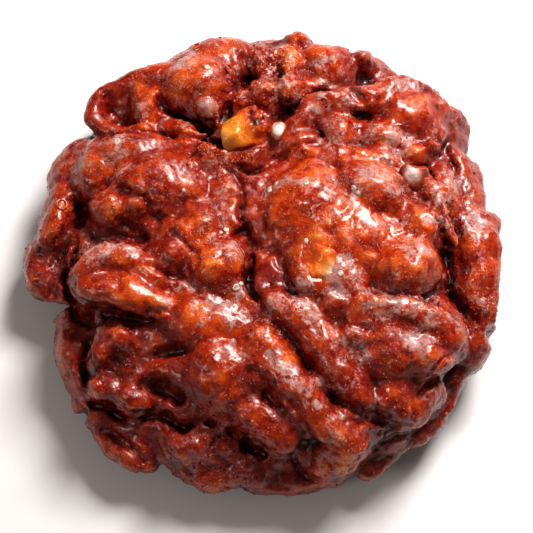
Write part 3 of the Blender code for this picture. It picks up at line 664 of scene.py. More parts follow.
def add_underside(heap, draw):
    """Lobes round the lower rim, feet and bumps, in sizes and places drawn at random."""
    for index in range(RIM_COUNT):
        angle = math.tau * index / RIM_COUNT + draw.uniform(*RIM_SWING)
        x, y = polar(draw.uniform(*RIM_RADIUS), angle)
        heap.lobe(x, y, draw.uniform(*RIM_TOP), draw.uniform(*RIM_LENGTH),
                  draw.uniform(*RIM_WIDTH), math.degrees(angle) + 90, draw.uniform(*RIM_DEPTH))
    for count, ring in FOOT_RINGS:
        for index in range(count):
            angle = math.tau * (index + 0.5) / count + draw.uniform(*FOOT_SWING)
            x, y = polar(ring + draw.uniform(*FOOT_SHIFT) if ring else 0, angle)
            heap.lobe(x, y, FOOT_TOP, draw.uniform(*FOOT_LENGTH), draw.uniform(*FOOT_WIDTH),
                      draw.uniform(0, 180), FOOT_DEPTH)
    for _ in range(BUMP_COUNT):
        angle = draw.uniform(0, math.tau)
        x, y = polar(BUMP_REACH * math.sqrt(draw.random()), angle)
        heap.lobe(x, y, FOOT_TOP, draw.uniform(*BUMP_LENGTH), draw.uniform(*BUMP_WIDTH),
                  draw.uniform(0, 180), draw.uniform(*BUMP_DEPTH))


def heap_up():
    """The lobes, the folds and the underside, as one mesh of overlapping shapes."""
    heap = Heap()
    for top, width, depth in CORE_DISCS:
        heap.lobe(0, CORE_Y, top, width, width, 0, depth, CORE_DETAIL)
    for _, x, y, top, length, width, turn, depth in LOBES:
        heap.lobe(x, y, top, length, width, turn, depth)
    for _, flatness, points in FOLDS:
        heap.fold(flatness, points)
    add_underside(heap, random.Random(SEED))
    return heap.make("dough")


# %% [markdown]
# Frying welds the lobes into one body. A boolean union could join them, but it is slow and leaves
# sharp creases. A voxel remesh wraps one even skin round all of them, smoothing rounds the joints,
# and decimation takes out the faces that flat spots don't need.
# %% Skinning, smoothing and thinning
def skin(thing, voxel):
    """Joins overlapping closed shapes into one even surface."""
    modifier = thing.modifiers.new("Skin", "REMESH")
    modifier.mode = "VOXEL"
    modifier.voxel_size = voxel * MM
    apply_modifiers(thing)


def soften(thing, factor, times):
    modifier = thing.modifiers.new("Soften", "SMOOTH")
    modifier.factor = factor
    modifier.iterations = times
    apply_modifiers(thing)


def thin_out(thing, wanted):
    modifier = thing.modifiers.new("Thin", "DECIMATE")
    modifier.ratio = wanted / triangles(thing)
    modifier.use_collapse_triangulate = True
    apply_modifiers(thing)


# %% [markdown]
# On the skin, seams and hollows are pressed in from above and notches from the side, and then the
# crust is raised. A displacement modifier could do either, but each of these rules looks at a point's
# place, slope and height at once, which a few lines of arithmetic on its points do more plainly.
# %% Seams pressed in and crust raised
def wander(points):
    """How far each point's place is shifted before a seam is read, so that seams run unevenly."""
    return np.array([sum((noise.noise_vector(Vector(point) / size) * reach
                          for size, reach in SEAM_WANDER), Vector()) for point in points])


def press_seams(points, normals):
    """Lowers the upper surface along the seams and into the hollows."""
    read_at = (points + wander(points))[:, :2]
    drop = np.zeros(len(points))
    for _, seam in SEAMS:
        line = np.array(list(along(seam, 1.0)))
        middle = line[:, :2].mean(axis=0)
        reach = np.abs(line[:, :2] - middle).max() + SEAM_MARGIN
        near = np.nonzero(np.abs(read_at - middle).max(axis=1) < reach)[0]
        away = np.linalg.norm(read_at[near, None, :] - line[None, :, :2], axis=2)
        away /= SEAM_WIDTH * line[:, 2]
        closest = away.argmin(axis=1)
        depth = SEAM_DEPTH * line[closest, 3] * ease(1 - away[np.arange(len(near)), closest])
        drop[near] = np.maximum(drop[near], depth)
    facing_up = ease((normals[:, 2] + SEAM_TILT) / (2 * SEAM_TILT))
    above_base = ease((points[:, 2] - SEAM_BASE) / SEAM_FADE)
    lowered = points.copy()
    lowered[:, 2] -= drop * facing_up * above_base
    return lowered


def press_notches(points):
    """Moves the points outside each notch straight inwards, as far as the notch goes there."""
    moved = points.copy()
    for _, x, y, half_width, depth in NOTCHES:
        inwards = -np.array((x, y)) / math.hypot(x, y)
        away = moved[:, :2] - (x, y)
        across = np.abs(away @ (-inwards[1], inwards[0])) / half_width
        short = depth * ease(1 - across) - away @ inwards
        near = (across < 1) & (np.hypot(*away.T) < SEAM_MARGIN)
        moved[:, :2] += np.where(near, np.maximum(short, 0), 0)[:, None] * inwards
    return moved


def roughness_at(points):
    """How strongly the crust is cobbled at each point, from 0 to 1."""
    strength = np.full(len(points), float(ROUGH_EVERYWHERE))
    for _, x, y, radius, full in ROUGH_PLACES:
        inside = 1 - np.hypot(points[:, 0] - x, points[:, 1] - y) / radius
        strength = np.maximum(strength, ROUGH_GAIN * full * ease(inside))
    return np.minimum(1, strength)


def crust(point, strength):
    """How far the crust stands out at a point: rounded cobbles, creases and a fine grain."""
    bent = point + noise.noise_vector(point / BEND_SIZE) * BEND_REACH
    cobbles = sum(height * (COBBLE_MEAN - noise.voronoi(bent / cell)[0][0]) for cell, height in COBBLES)
    crease = CREASE_DEPTH * float(ease(1 - abs(noise.noise(bent / CREASE_SIZE)) / CREASE_WIDTH))
    return strength * (cobbles - crease) + GRAIN_HEIGHT * noise.noise(point / GRAIN_SIZE)


def warp(point):
    """The slow unevenness of hand-formed dough."""
    return sum((noise.noise_vector(point / size + Vector(start)) * reach
                for size, reach, start in WARPS), Vector())


def roughen(points, normals):
    """Warps the heap and raises the crust on it, least where it lies on its flat spots."""
    moved = points.copy()
    strengths = roughness_at(points).tolist()
    for index, (point, normal, strength) in enumerate(zip(points, normals, strengths)):
        place = Vector(point)
        shift = warp(place) + Vector(normal) * crust(place, strength)
        shift.z *= float(ease((place.z - FLAT_HEIGHT) / FLAT_FADE))
        moved[index] = place + shift
    return moved


def cut_flat(thing):
    """Cuts the underside off level, which leaves a flat spot under each foot."""
    bpy.context.view_layer.objects.active = thing
    thing.select_set(True)
    bpy.ops.object.mode_set(mode="EDIT")
    bpy.ops.mesh.select_all(action="SELECT")
    bpy.ops.mesh.bisect(plane_co=(0, 0, 0), plane_no=(0, 0, 1), use_fill=True, clear_inner=True,
                        threshold=0.000001)
    bpy.ops.mesh.select_all(action="SELECT")
    bpy.ops.mesh.quads_convert_to_tris()
    bpy.ops.object.mode_set(mode="OBJECT")
    thing.select_set(False)


# %% [markdown]
# Now the heap becomes one skin. Blender's voxel remesh joins what overlaps, a few rounds of smoothing
# round the joints off, and a second remesh evens the mesh out after the crust has been raised.
# %% The fine dough
SKIN_VOXEL = 0.6
DOUGH_TRIANGLES = 190000
SOFT_HEAP = (0.5, 14)
SOFT_SEAMS = (0.5, 2)
SOFT_CRUST = (0.3, 1)


def make_dough():
    dough = heap_up()
    skin(dough, SKIN_VOXEL)
    soften(dough, *SOFT_HEAP)
    write_points(dough, press_notches(press_seams(read_points(dough), read_normals(dough))))
    soften(dough, *SOFT_SEAMS)
    write_points(dough, roughen(read_points(dough), read_normals(dough)))
    skin(dough, SKIN_VOXEL)
    soften(dough, *SOFT_CRUST)
    thin_out(dough, DOUGH_TRIANGLES)
    cut_flat(dough)
    return dough


dough = make_dough()
print("The dough has", triangles(dough), "triangles")


# %% [markdown]
# Frying leaves the skin granular: grains and pits of about a millimetre, and thin raised edges where
# the glaze has crept. It covers the whole surface by one rule, so Geometry Nodes raise it. The same
# tree measures how hollow each point is and how much sky it sees, for the colours, which use them to
# paint shade into the hollows.
# %% The tree for the fine crust
FINE_CRUST = {"Grain size": 1.5, "Grain height": 0.20, "Lump size": 2.7,
              "Lump height": 0.45, "Crinkle size": 3.2, "Crinkle height": 0.45,
              "Pit size": 2.7, "Pit depth": 0.2, "Still height": 1.2}

# How strong the grains, lumps and crinkles are away from cobbled places
GRAIN_EVERYWHERE = 0.35
LUMP_EVERYWHERE = 0.1
CRINKLE_EVERYWHERE = 0.2

# Half the width of a crinkle, and a pit's outer and inner edge, as shares of their sizes. Only cells
# whose own random number is above these have a pit
CRINKLE_EDGE = 0.09
PIT_EDGES = (0.36, 0.16)
PIT_CHOICE = (0.5, 0.6)

# The sky is measured by rays of this reach, which start a little above the crust. The hollows are
# measured against the crust's place after these rounds of blurring
SKY_RAYS = 18
SKY_REACH = 16
SKY_START = 0.3
HOLLOW_BLURS = (("edge", 3), ("hollow", 40))
GOLDEN_ANGLE = math.pi * (3 - math.sqrt(5))


def measure_hollows(graph, geometry, position, normal):
    """Stores, in millimetres, how far each point lies under its surroundings."""
    for name, rounds in HOLLOW_BLURS:
        blurred = graph.node("GeometryNodeBlurAttribute", {0: position, 1: rounds},
                             data_type="FLOAT_VECTOR").outputs[0]
        away = graph.vector("SUBTRACT", blurred, position)
        depth = graph.product(graph.vector("DOT_PRODUCT", away, normal), 1 / MM)
        geometry = graph.store(geometry, name, depth)
    return geometry


def measure_sky(graph, geometry, position, normal):
    """Stores the share of rays that leave each point freely, among rays spread over the sky."""
    start = graph.vector("ADD", position, graph.vector("SCALE", normal, SKY_START * MM))
    free = []
    for index in range(SKY_RAYS):
        rise = 1 - (index + 0.5) / SKY_RAYS
        x, y = polar(math.sqrt(1 - rise * rise), index * GOLDEN_ANGLE)
        ray = graph.node("GeometryNodeRaycast", {
            "Target Geometry": geometry, "Source Position": start, "Ray Direction": (x, y, rise),
            "Ray Length": SKY_REACH * MM})
        free.append((rise, graph.math("SUBTRACT", 1.0, ray.outputs[0])))
    most = sum(rise for rise, _ in free)
    return graph.store(geometry, "sky", graph.math("DIVIDE", graph.total(*free), most))


def fine_relief(graph, place):
    """How far the fine crust stands out at each point: grains, lumps and crinkles, less the pits."""
    given = graph.given
    rough = graph.named("cobbled")
    grains = graph.math("SUBTRACT", COBBLE_MEAN, graph.cells(place, given["Grain size"])[0])
    lumps = graph.math("SUBTRACT", COBBLE_MEAN, graph.cells(place, given["Lump size"])[0])
    crinkle = graph.swing(graph.vector("DIVIDE", place, given["Crinkle size"]), 1, 3, 0.6)
    ridge = graph.step(graph.math("ABSOLUTE", crinkle), CRINKLE_EDGE, 0.0)
    pits = graph.cells(place, given["Pit size"])
    pit = graph.step(pits[0], *PIT_EDGES)
    chosen = graph.step(graph.vector("DOT_PRODUCT", pits[1], (1, 0, 0)), *PIT_CHOICE)
    return graph.total(
        (grains, given["Grain height"], graph.total(GRAIN_EVERYWHERE, rough)),
        (lumps, given["Lump height"], graph.total(LUMP_EVERYWHERE, rough)),
        (ridge, given["Crinkle height"], graph.total(CRINKLE_EVERYWHERE, (1 - CRINKLE_EVERYWHERE, rough))),
        (pit, given["Pit depth"], graph.product(chosen, -1.0)))


def fine_crust_tree(material):
    """Raises the fine crust, and stores how hollow and how open to the sky each point is."""
    numbers = [(name, "Float", value) for name, value in FINE_CRUST.items()]
    graph = Graph("Fine crust", "GeometryNodeTree", [("Geometry", "Geometry")] + numbers,
                  [("Geometry", "Geometry")])
    position = graph.node("GeometryNodeInputPosition").outputs[0]
    normal = graph.node("GeometryNodeInputNormal").outputs[0]
    place = graph.vector("SCALE", position, 1 / MM)
    level = graph.node("ShaderNodeSeparateXYZ", {0: place}).outputs[2]
    low = graph.given["Still height"]
    still = graph.step(level, low, graph.total(low, float(FLAT_FADE)))
    moved = graph.product(fine_relief(graph, place), still, MM)
    geometry = graph.move(graph.given["Geometry"], graph.vector("SCALE", normal, moved))
    geometry = measure_hollows(graph, geometry, position, normal)
    return graph.finish(measure_sky(graph, geometry, position, normal), material)


# %% [markdown]
# A tree's inputs are set by each socket's identifier, before the object is first evaluated. The
# result is then made a plain mesh, and the modifier goes.
# %% Running a tree on a piece
def run_tree(thing, tree, values):
    """Puts the tree on the piece with these values by input name, and keeps the result as its mesh."""
    modifier = thing.modifiers.new(tree.name, "NODES")
    modifier.node_group = tree
    for socket in tree.interface.items_tree:
        if socket.in_out == "INPUT" and socket.name in values:
            modifier[socket.identifier] = values[socket.name]
    apply_modifiers(thing)


# %% [markdown]
# The crust is fried dark red-brown, and orange where the skin is thin. Its colour is also deepest in
# the creases and orange where a lobe stands out, which is painted shade and painted light. These steps
# are shared by every fried piece, so they are a shader group, with the piece's own painted hollows and
# highlights as inputs.
# %% A shader group for the fried colour
# The low stops are reached in the creases, where the rise carries painted shade
FRIED_COLOURS = (
    (0.00, (0.020, 0.0015, 0.0006)),
    (0.20, (0.100, 0.0040, 0.0010)),
    (0.40, (0.260, 0.0110, 0.0018)),
    (0.58, (0.440, 0.0480, 0.0045)),
    (0.74, (0.580, 0.1000, 0.0090)),
    (0.88, (0.680, 0.1700, 0.0180)),
    (1.00, (0.740, 0.3100, 0.0550)),
)


def fried_group():
    """Colours by rise, which is low in creases and high on lobes as painted shade and light, broken up by
    mottle.
    """
    graph = Graph("Fried colour", "ShaderNodeTree",
                  [("Place", "Vector"), ("Rise", "Float", 0.5), ("Mottle", "Float", 0.25)],
                  [("Colour", "Color")])
    place = graph.given["Place"]
    patches = graph.swing(place, 7, 3, 1.6, 0.5)
    windows = graph.swing(place, 2.6, 2, 1.2, 0.5)
    spots = graph.swing(place, 0.9, 2, 0.2, 0.6)
    uneven = graph.total((1.3, patches), (0.9, windows), (0.15, spots))
    tone = graph.total(graph.given["Rise"], (uneven, graph.given["Mottle"]))
    graph.join(graph.ramp(tone, FRIED_COLOURS), graph.result["Colour"])
    return graph.tree


FRIED = fried_group()
print("The fried colour has", len(FRIED.nodes), "nodes")


# %% [markdown]
# The glaze is sugar syrup that has dried to a thin milky film. It is thick in patches and streaks,
# with clear windows between them, cloudy where it is thickest, and with white crumbs where it cracked.
# Its whitish cloud also stands for the soft sheen of the light on the glaze, so it is partly painted
# sheen.
# %% A shader group for the glaze
FILM_EDGES = (0.40, 0.62)
CLOUD_AND_SHEEN_EDGES = (0.30, 0.85)
CRUMB_EDGES = (0.64, 0.74)


def glaze_group():
    """Where the film, the cloudy glaze with its painted sheen and its crumbs lie, and how high they stand.
    """
    graph = Graph("Sugar glaze", "ShaderNodeTree",
                  [("Place", "Vector"), ("Amount", "Float", 0.5), ("Milk", "Float", 0.0),
                   ("Grain", "Float", 0.5), ("Patch size", "Float", 6.0)],
                  [("Film", "Float"), ("Cloud", "Float"), ("Crumb", "Float"), ("Height", "Float")])
    given = graph.given
    place = given["Place"]
    patch = graph.swing(graph.vector("DIVIDE", place, given["Patch size"]), 1, 3, 1.5, 0.55)
    streak = graph.swing(place, 2.4, 3, 1.6, 0.5)
    grit = graph.noise(place, 0.55, 2, 0.5, 0.6)
    speckle = graph.math("SUBTRACT", grit, 0.5)
    uneven = graph.total(patch, (0.8, streak), (0.25, speckle))
    film = graph.step(graph.total(given["Amount"], uneven), *FILM_EDGES)
    # The cloud is partly milky glaze and partly painted sheen
    cloud = graph.step(graph.total(given["Milk"], (1.5, uneven), (0.35, speckle)), *CLOUD_AND_SHEEN_EDGES)
    crumb = graph.step(graph.total(grit, (0.10, given["Grain"]), (0.08, streak)), *CRUMB_EDGES)
    height = graph.total((0.5, streak), (0.7, grit), (0.6, crumb))
    for name, value in (("Film", film), ("Cloud", cloud), ("Crumb", crumb), ("Height", height)):
        graph.join(value, graph.result[name])
    return graph.tree


GLAZE = glaze_group()
print("The glaze has", len(GLAZE.nodes), "nodes")


# %% [markdown]
# Every finish here starts as the same kind of material: a glossy surface with a clear coat, and some
# light passing through its skin. A small class sets those, and puts the point's place in
# millimetres at hand, so that a material only says what is its own.
# %% A material with its place, its coat and its glow
IOR = 1.5


class Surface(Graph):
    """A material's own tree, with its Principled shader and the place of each point in millimetres."""

    def __init__(self, name, roughness, coat, coat_roughness, glow, glow_colour, glow_depth):
        self.material = bpy.data.materials.new(name)
        self.material.use_nodes = True
        self.tree = self.material.node_tree
        self.sockets = self.tree.nodes["Principled BSDF"].inputs
        for socket, value in (
                ("Roughness", roughness), ("Coat Weight", coat), ("Coat Roughness", coat_roughness),
                ("IOR", IOR), ("Subsurface Weight", glow), ("Subsurface Radius", glow_colour),
                ("Subsurface Scale", glow_depth * MM)):
            self.sockets[socket].default_value = value
        here = self.node("ShaderNodeTexCoord").outputs["Object"]
        self.place = self.vector("SCALE", here, 1 / MM)

    def attribute(self, name):
        return self.node("ShaderNodeAttribute", attribute_name=name).outputs["Fac"]

    def bump(self, height, distance):
        made = self.node("ShaderNodeBump", {"Strength": 1.0, "Distance": distance * MM, "Height": height})
        self.join(made.outputs[0], self.sockets["Normal"])


# %% [markdown]
# The crust's material puts the colour and the glaze together. Values stored on the mesh say where it
# is hollow, open to the sky, glowing, under painted shade or milky with painted sheen, and a table
# weighs them for each input of the two groups. The film lightens and dulls the colour where it lies, a
# clear coat gives the wet gloss, and a fine bump breaks the highlights into the many small ones of the
# real crust.
# %% The crust's material
# Layers of glaze over the fried colour: output of the glaze group, share at most, colour. They fade
# out where little sky is seen, as painted shade
GLAZE_LAYERS = (
    ("Film", 0.46, (0.28, 0.050, 0.034)),
    # The cloud's whitish colour is partly painted sheen
    ("Cloud", 0.70, (0.57, 0.39, 0.36)),
    ("Crumb", 0.6, (0.70, 0.46, 0.35)),
)

# Inputs of the two groups: start, then the weight of each value stored on the crust. In the rise, the
# sky, hollow and edge weights paint shade into hollows and light onto open lobes, and in the milk the
# edge weight puts painted sheen on fine ridges
CRUST_RISE = (0.16, {"sky": 0.34, "hollow": -0.05, "edge": -0.18, "glow": 0.24, "painted_shade": -0.16})
GLAZE_AMOUNT = (0.54, {"edge": -0.5, "hollow": 0.12, "glow": -0.35, "painted_shade": 0.12})
GLAZE_MILK_AND_SHEEN = (0.16, {"milk_and_sheen": 0.50, "edge": -0.3, "painted_shade": -0.12})
GLAZE_GRAIN = (0.0, {"cobbled": 1.0, "glow": 0.4, "edge": -0.8, "painted_shade": -0.6})
CRUST_MARKS = ("edge", "hollow", "sky", "glow", "painted_shade", "milk_and_sheen", "cobbled")
CRUST_MOTTLE = 0.6
SKY_EDGES = (0.1, 1.0)
LIT_EDGES = (0.2, 0.75)
CRUST_ROUGHNESS = 0.17
FILM_ROUGHNESS = 0.12
CRUST_BUMP = 0.18


def crust_material():
    look = Surface("fried crust under glaze", CRUST_ROUGHNESS, 0.35, 0.10, 0.25, (1.0, 0.22, 0.08), 1.4)
    marks = {name: look.attribute(name) for name in CRUST_MARKS}
    # Painted shade: the glaze layers fade out where little sky is seen, so hollows keep the dark colour
    lit = look.step(marks["sky"], *LIT_EDGES)
    marks["sky"] = look.step(marks["sky"], *SKY_EDGES)

    def weigh(start, weights):
        return look.total(start, *((weight, marks[name]) for name, weight in weights.items()))

    fried = look.group(FRIED, {"Place": look.place, "Rise": weigh(*CRUST_RISE), "Mottle": CRUST_MOTTLE})
    glaze = look.group(GLAZE, {"Place": look.place, "Amount": weigh(*GLAZE_AMOUNT),
                               "Milk": weigh(*GLAZE_MILK_AND_SHEEN), "Grain": weigh(*GLAZE_GRAIN)})
    colour = fried["Colour"]
    for name, most, tint in GLAZE_LAYERS:
        colour = look.mix(look.product(glaze[name], most, lit), colour, (*tint, 1))
    look.join(colour, look.sockets["Base Color"])
    roughness = look.total(CRUST_ROUGHNESS, (FILM_ROUGHNESS, glaze["Film"]))
    look.join(roughness, look.sockets["Roughness"])
    fine = look.noise(look.place, 0.5, 3, 0.2, 0.6)
    look.bump(look.total((0.7, fine), (0.5, glaze["Height"])), CRUST_BUMP)
    return look.material


CRUST = crust_material()
print("The crust's material has", len(CRUST.node_tree.nodes), "nodes")


# %% [markdown]
# The crust isn't coloured alike all over. In some places the dough glows orange through a thin skin,
# in some its colour is darkened as painted shade, and in others the glaze has clouded, partly as
# painted sheen. They could be painted on by hand. As rows of a table, each a round patch with a soft
# edge, they can still be moved and counted.
# %% Where the crust glows, where shade is painted, and where milky glaze and painted sheen lie
# Each row: x, y, radius, strength
UPPER_START = 12
UPPER_FADE = 8
PLACE_EDGE = 1.5

GLOW_PLACES = (
    # Back
    (6, 53, 3.5, 0.9), (-22, 45, 9, 0.35), (-18, 51, 4, 0.45), (-10, 56, 3.5, 0.35), (15, 55, 3, 0.55),
    (30, 48, 2.5, 0.6), (38, 39, 3.5, 0.8), (-32, 45, 1.5, 0.8), (-38.5, 40, 4, 0.5), (-32, 37.5, 3, 0.45),
    (-29, 35, 2.5, 0.5), (-19, 31, 2.5, 0.6),
    # The crown
    (11, 20, 6, 0.6), (24, 23, 3.5, 0.55), (37, 26, 2.5, 0.6), (46, 11, 1.5, 0.6), (13, 1, 4, 0.8),
    (16, 9, 15, 0.35), (31, -2, 6, 0.6), (34, 3, 3.5, 0.7), (37, -6, 3.5, 0.6), (9, 11, 4, 0.35),
    (21, 9, 6, 0.45), (30, 20, 6, 0.5), (33, 27, 6, 0.4),
    # Right
    (48, 16, 3, 0.45), (49, 2, 3, 0.5), (53, -3, 2.5, 0.5),
    # Left
    (-37, 10, 2, 1), (-45, 23, 2, 0.6), (-51, 14, 2, 0.5), (-54, 8, 2.5, 0.5), (-17, 3, 4, 0.45),
    (-48, -32, 5, 0.4), (-35, -3, 1.5, 0.8), (-29, -5, 2, 0.9), (-14, -4, 4, 0.8), (-5, -4, 2.5, 0.55),
    (-32, -9, 5.5, 0.5), (-25, -12, 4, 0.75), (-17, -16, 3, 0.9), (-12, -19, 3.5, 0.4),
    # Front
    (-36, -20, 2.5, 0.9), (-31, -24, 2, 0.5), (-27, -21, 2, 0.6), (-26, -27, 2.5, 0.7),
    (-11, -35, 4.5, 0.65), (-13, -39, 2.5, 0.5), (-8, -24, 4.5, 0.3), (-19, -50, 2.5, 0.4),
    (6, -27, 2, 1.1), (2, -22, 3.5, 0.45), (21, -52, 3.5, 1), (14, -52, 2, 1.1),
    (18, -48, 3.5, 0.4), (30, -35, 2, 0.9), (36, -38, 2, 0.8), (40, -28, 3, 0.45),
    (47, -29, 2, 0.4), (40, -43, 3, 0.35), (-38, -42, 6, 0.8), (-30, -49, 6, 0.7), (-44, -36, 5, 0.6),
)
# Painted shade: round patches where the crust's colour is darkened
PAINTED_SHADE_PLACES = (
    (-31, -28, 14, 0.8), (-41, -30, 6, 1), (-20, -40, 11, 0.8), (0, -50, 9, 0.5),
    (28, -38, 8, 0.5), (36, -42, 7, 0.4), (0, -7, 4, 1), (-8, -30, 8, 0.3), (-55, -3, 8, 0.4),
    (-5, 33, 7, 0.3), (46, -22, 6, 0.3), (33, -36, 7, 0.5), (47, 40, 13, 0.5),
    (40, 47, 9, 0.4), (-42, 44, 7, 0.6), (-46, 37, 5, 0.6),
)
# Milky glaze and painted sheen: whitish patches, most of them where the light's soft sheen falls
MILK_AND_SHEEN_PLACES = (
    # Back
    (-21, 50, 2.5, 1), (-22, 46, 7, 0.35), (-18, 54, 1.5, 1), (18, 31, 5, 0.5), (-15, 47, 2, 0.6),
    (-9, 50, 2.5, 0.5), (-31, 38.5, 2.2, 0.9), (-15, 37, 3.5, 0.7), (-20, 40, 4, 0.5), (14, 38, 3, 0.8),
    (21, 37, 3, 0.8), (17, 33, 3, 0.6), (37, 44, 4.5, 0.4), (31, 43, 3, 0.35), (44, 42, 3, 0.25),
    (6, 43, 3.5, 0.5), (15, 51, 2.5, 0.5),
    # Back right
    (34, 28, 4.5, 1), (26, 32, 3, 0.6), (44, 33, 2.5, 0.8), (30, 24, 2, 0.9),
    # Left back
    (-37, 29, 3, 0.9), (-37, 23, 4, 0.8), (-19, 23, 2, 0.7), (-20, 16, 3, 0.5), (-12, 23, 3, 0.5),
    (-10, 18, 3, 0.4), (-11, 15, 2, 0.7), (-46, 22, 3.5, 0.5),
    # The crown
    (3, 17, 3.5, 0.6), (1, 16, 2, 1), (10, 16, 1.5, 1), (18, 16, 4.5, 0.5), (22, 14, 2, 0.9),
    (27, 19, 4.5, 1), (32, 16, 3.5, 0.9), (18, 6, 4, 0.25), (11, 8, 2.5, 0.5), (23, 3, 3, 0.3),
    (31, 6, 4, 0.4), (36, -1, 4, 1), (18, -7, 5.5, 1), (15, -5, 2.5, 0.7), (26, -9, 3.5, 0.5),
    # Right
    (43, 14, 3, 0.7), (47, 19, 3, 0.8), (51, 8, 5, 0.6), (43, 6, 3, 0.7), (40, -11, 3.5, 0.7),
    (54, -11, 3, 0.4),
    # Front right
    (29, -14, 5, 0.9), (36, -15, 3.5, 0.9), (40, -18, 3.5, 0.6), (21, -23, 3.5, 0.7),
    (23, -26, 3, 0.8), (45, -20, 3.5, 0.5), (37, -24, 3.5, 1),
    # Folds
    (9, -11, 3.5, 0.9), (11, -16, 3, 1), (3, -14, 3, 0.9), (13, -29, 3.5, 0.45), (15, -33, 2.5, 0.6),
    # The run of small patches from (0.5, -26.5) to (12.5, -38.5) is a painted highlight on the long fold's
    # crest
    (20, -34, 2.5, 0.7), (0.5, -26.5, 1.2, 1), (2.5, -28.5, 1.3, 1.1), (4.5, -30.5, 1.4, 1.2),
    (6.5, -32.5, 1.4, 1.2), (8.5, -34.5, 1.4, 1.2), (10.5, -36.5, 1.4, 1.1), (12.5, -38.5, 1.3, 1),
    (18, -44, 3, 0.6),
    # Middle
    (-7, -11, 3, 0.8), (-8, -14, 3, 0.6), (-7, -17, 2.5, 0.8), (-9, -24, 2.5, 0.8),
    (-6, -27, 2.5, 0.7), (-8, -1, 3.5, 0.6), (-10, 6, 2, 1), (-14, 4, 2.5, 0.6),
    # Left
    (-41, 0, 4, 0.9), (-37, 2, 3, 1), (-33, -1, 2.5, 0.7), (-19, -9, 3, 0.4), (-24, -14, 2, 0.9),
    (-14, -18, 2.5, 0.5),
    # Front left
    (-30, -34, 2, 0.6), (-35, -25, 3.5, 0.35), (-42, -34, 1.5, 0.5),
)


def strength_at(points, places):
    """How strong something is at each point: full at a place's middle and gone a little outside it."""
    strength = np.zeros(len(points))
    for x, y, radius, full in places:
        away = np.hypot(points[:, 0] - x, points[:, 1] - y) / radius
        strength = np.maximum(strength, full * ease(PLACE_EDGE - away))
    return strength


def mark_places(thing):
    """Stores the places on the crust, for its trees and its material: glow, painted shade, and milk with
    painted sheen. Glow and milk are on top only.
    """
    points = read_points(thing)
    upper = ease((points[:, 2] - UPPER_START) / UPPER_FADE)
    write_attribute(thing, "cobbled", roughness_at(points))
    write_attribute(thing, "glow", upper * strength_at(points, GLOW_PLACES))
    write_attribute(thing, "milk_and_sheen", upper * strength_at(points, MILK_AND_SHEEN_PLACES))
    write_attribute(thing, "painted_shade", strength_at(points, PAINTED_SHADE_PLACES))


mark_places(dough)
print(len(GLOW_PLACES), "glowing,", len(PAINTED_SHADE_PLACES), "dark and", len(MILK_AND_SHEEN_PLACES), "milky places")


# %% [markdown]
# With its places marked and its material made, the dough gets its fine crust.
# %% Crust onto the dough
run_tree(dough, fine_crust_tree(CRUST), FINE_CRUST)
dough.name = "fried_dough"
print("The crust has", triangles(dough), "triangles")


# %% [markdown]
# Small things lie on the glaze: grains of crust, crumbs of dried sugar, and crumbs that burnt. There
# are far too many to place by hand, so Geometry Nodes scatter them over the crust, more where a
# value stored on it is high. Each is a small ball pushed out of shape, half sunk into the crust.
# %% The tree that scatters crumbs
CRUMB_LEAN = 0.5
CRUMB_LEAST = 0.2
CRUMB_FADE = 0.4
PER_SQUARE_METRE = 10000.0


def crumb_shape(graph, wobble):
    """A ball about two across, pushed in and out by noise."""
    ball = graph.node("GeometryNodeMeshIcoSphere", {"Radius": 1.0, "Subdivisions": 2}).outputs[0]
    place = graph.node("GeometryNodeInputPosition").outputs[0]
    push = graph.product(graph.swing(place, 0.9, 2), wobble)
    return graph.move(ball, graph.vector("SCALE", place, push))


def stand_on(graph, points, shape, turned, size, flatness):
    """Stands a copy of the shape on each point, scaled to its size and flattened."""
    scale = graph.node("ShaderNodeCombineXYZ", {0: size, 1: size, 2: graph.product(size, flatness)})
    return graph.node("GeometryNodeInstanceOnPoints", {
        "Points": points, "Instance": shape, "Rotation": turned,
        "Scale": graph.vector("SCALE", scale.outputs[0], MM)}).outputs[0]


def crumb_tree(material, value):
    """Scatters crumbs over the given surface, where the named value on it is high."""
    graph = Graph("Crumbs by " + value, "GeometryNodeTree", [
        ("Geometry", "Geometry"), ("Per square cm", "Float", 10.0), ("Least value", "Float", 0.3),
        ("Small", "Float", 0.2), ("Large", "Float", 0.4), ("Flatness", "Float", 0.7),
        ("Wobble", "Float", 1.0), ("Seed", "Int", 1)], [("Geometry", "Geometry")])
    given = graph.given
    least, seed = given["Least value"], given["Seed"]
    share = graph.step(graph.named(value), least, graph.total(least, CRUMB_FADE))
    spread = graph.node("GeometryNodeDistributePointsOnFaces", {
        "Mesh": given["Geometry"], "Seed": seed,
        "Density": graph.product(share, given["Per square cm"], PER_SQUARE_METRE)}).outputs
    turn = graph.node("FunctionNodeRandomValue", {
        0: (-CRUMB_LEAN, -CRUMB_LEAN, -3.1), 1: (CRUMB_LEAN, CRUMB_LEAN, 3.1),
        "Seed": seed}, data_type="FLOAT_VECTOR").outputs[0]
    turned = graph.node("FunctionNodeRotateRotation", {
        0: spread["Rotation"], 1: turn}, rotation_space="LOCAL").outputs[0]
    size = graph.node("FunctionNodeRandomValue", {
        2: given["Small"], 3: given["Large"], "Seed": graph.total(seed, 1.0)}).outputs[1]
    crumb = crumb_shape(graph, given["Wobble"])
    return graph.finish(stand_on(graph, spread["Points"], crumb, turned, size, given["Flatness"]), material)


def scatter(name, material, value, per_square_cm, small, large, flatness, seed):
    """One piece of scattered crumbs, made from a copy of the crust that the tree then drops."""
    piece = into_scene(name, dough.data.copy())
    run_tree(piece, crumb_tree(material, value), {
        "Per square cm": per_square_cm, "Least value": CRUMB_LEAST, "Small": small, "Large": large,
        "Flatness": flatness, "Seed": seed})
    print(name, "has", triangles(piece), "triangles")
    return piece


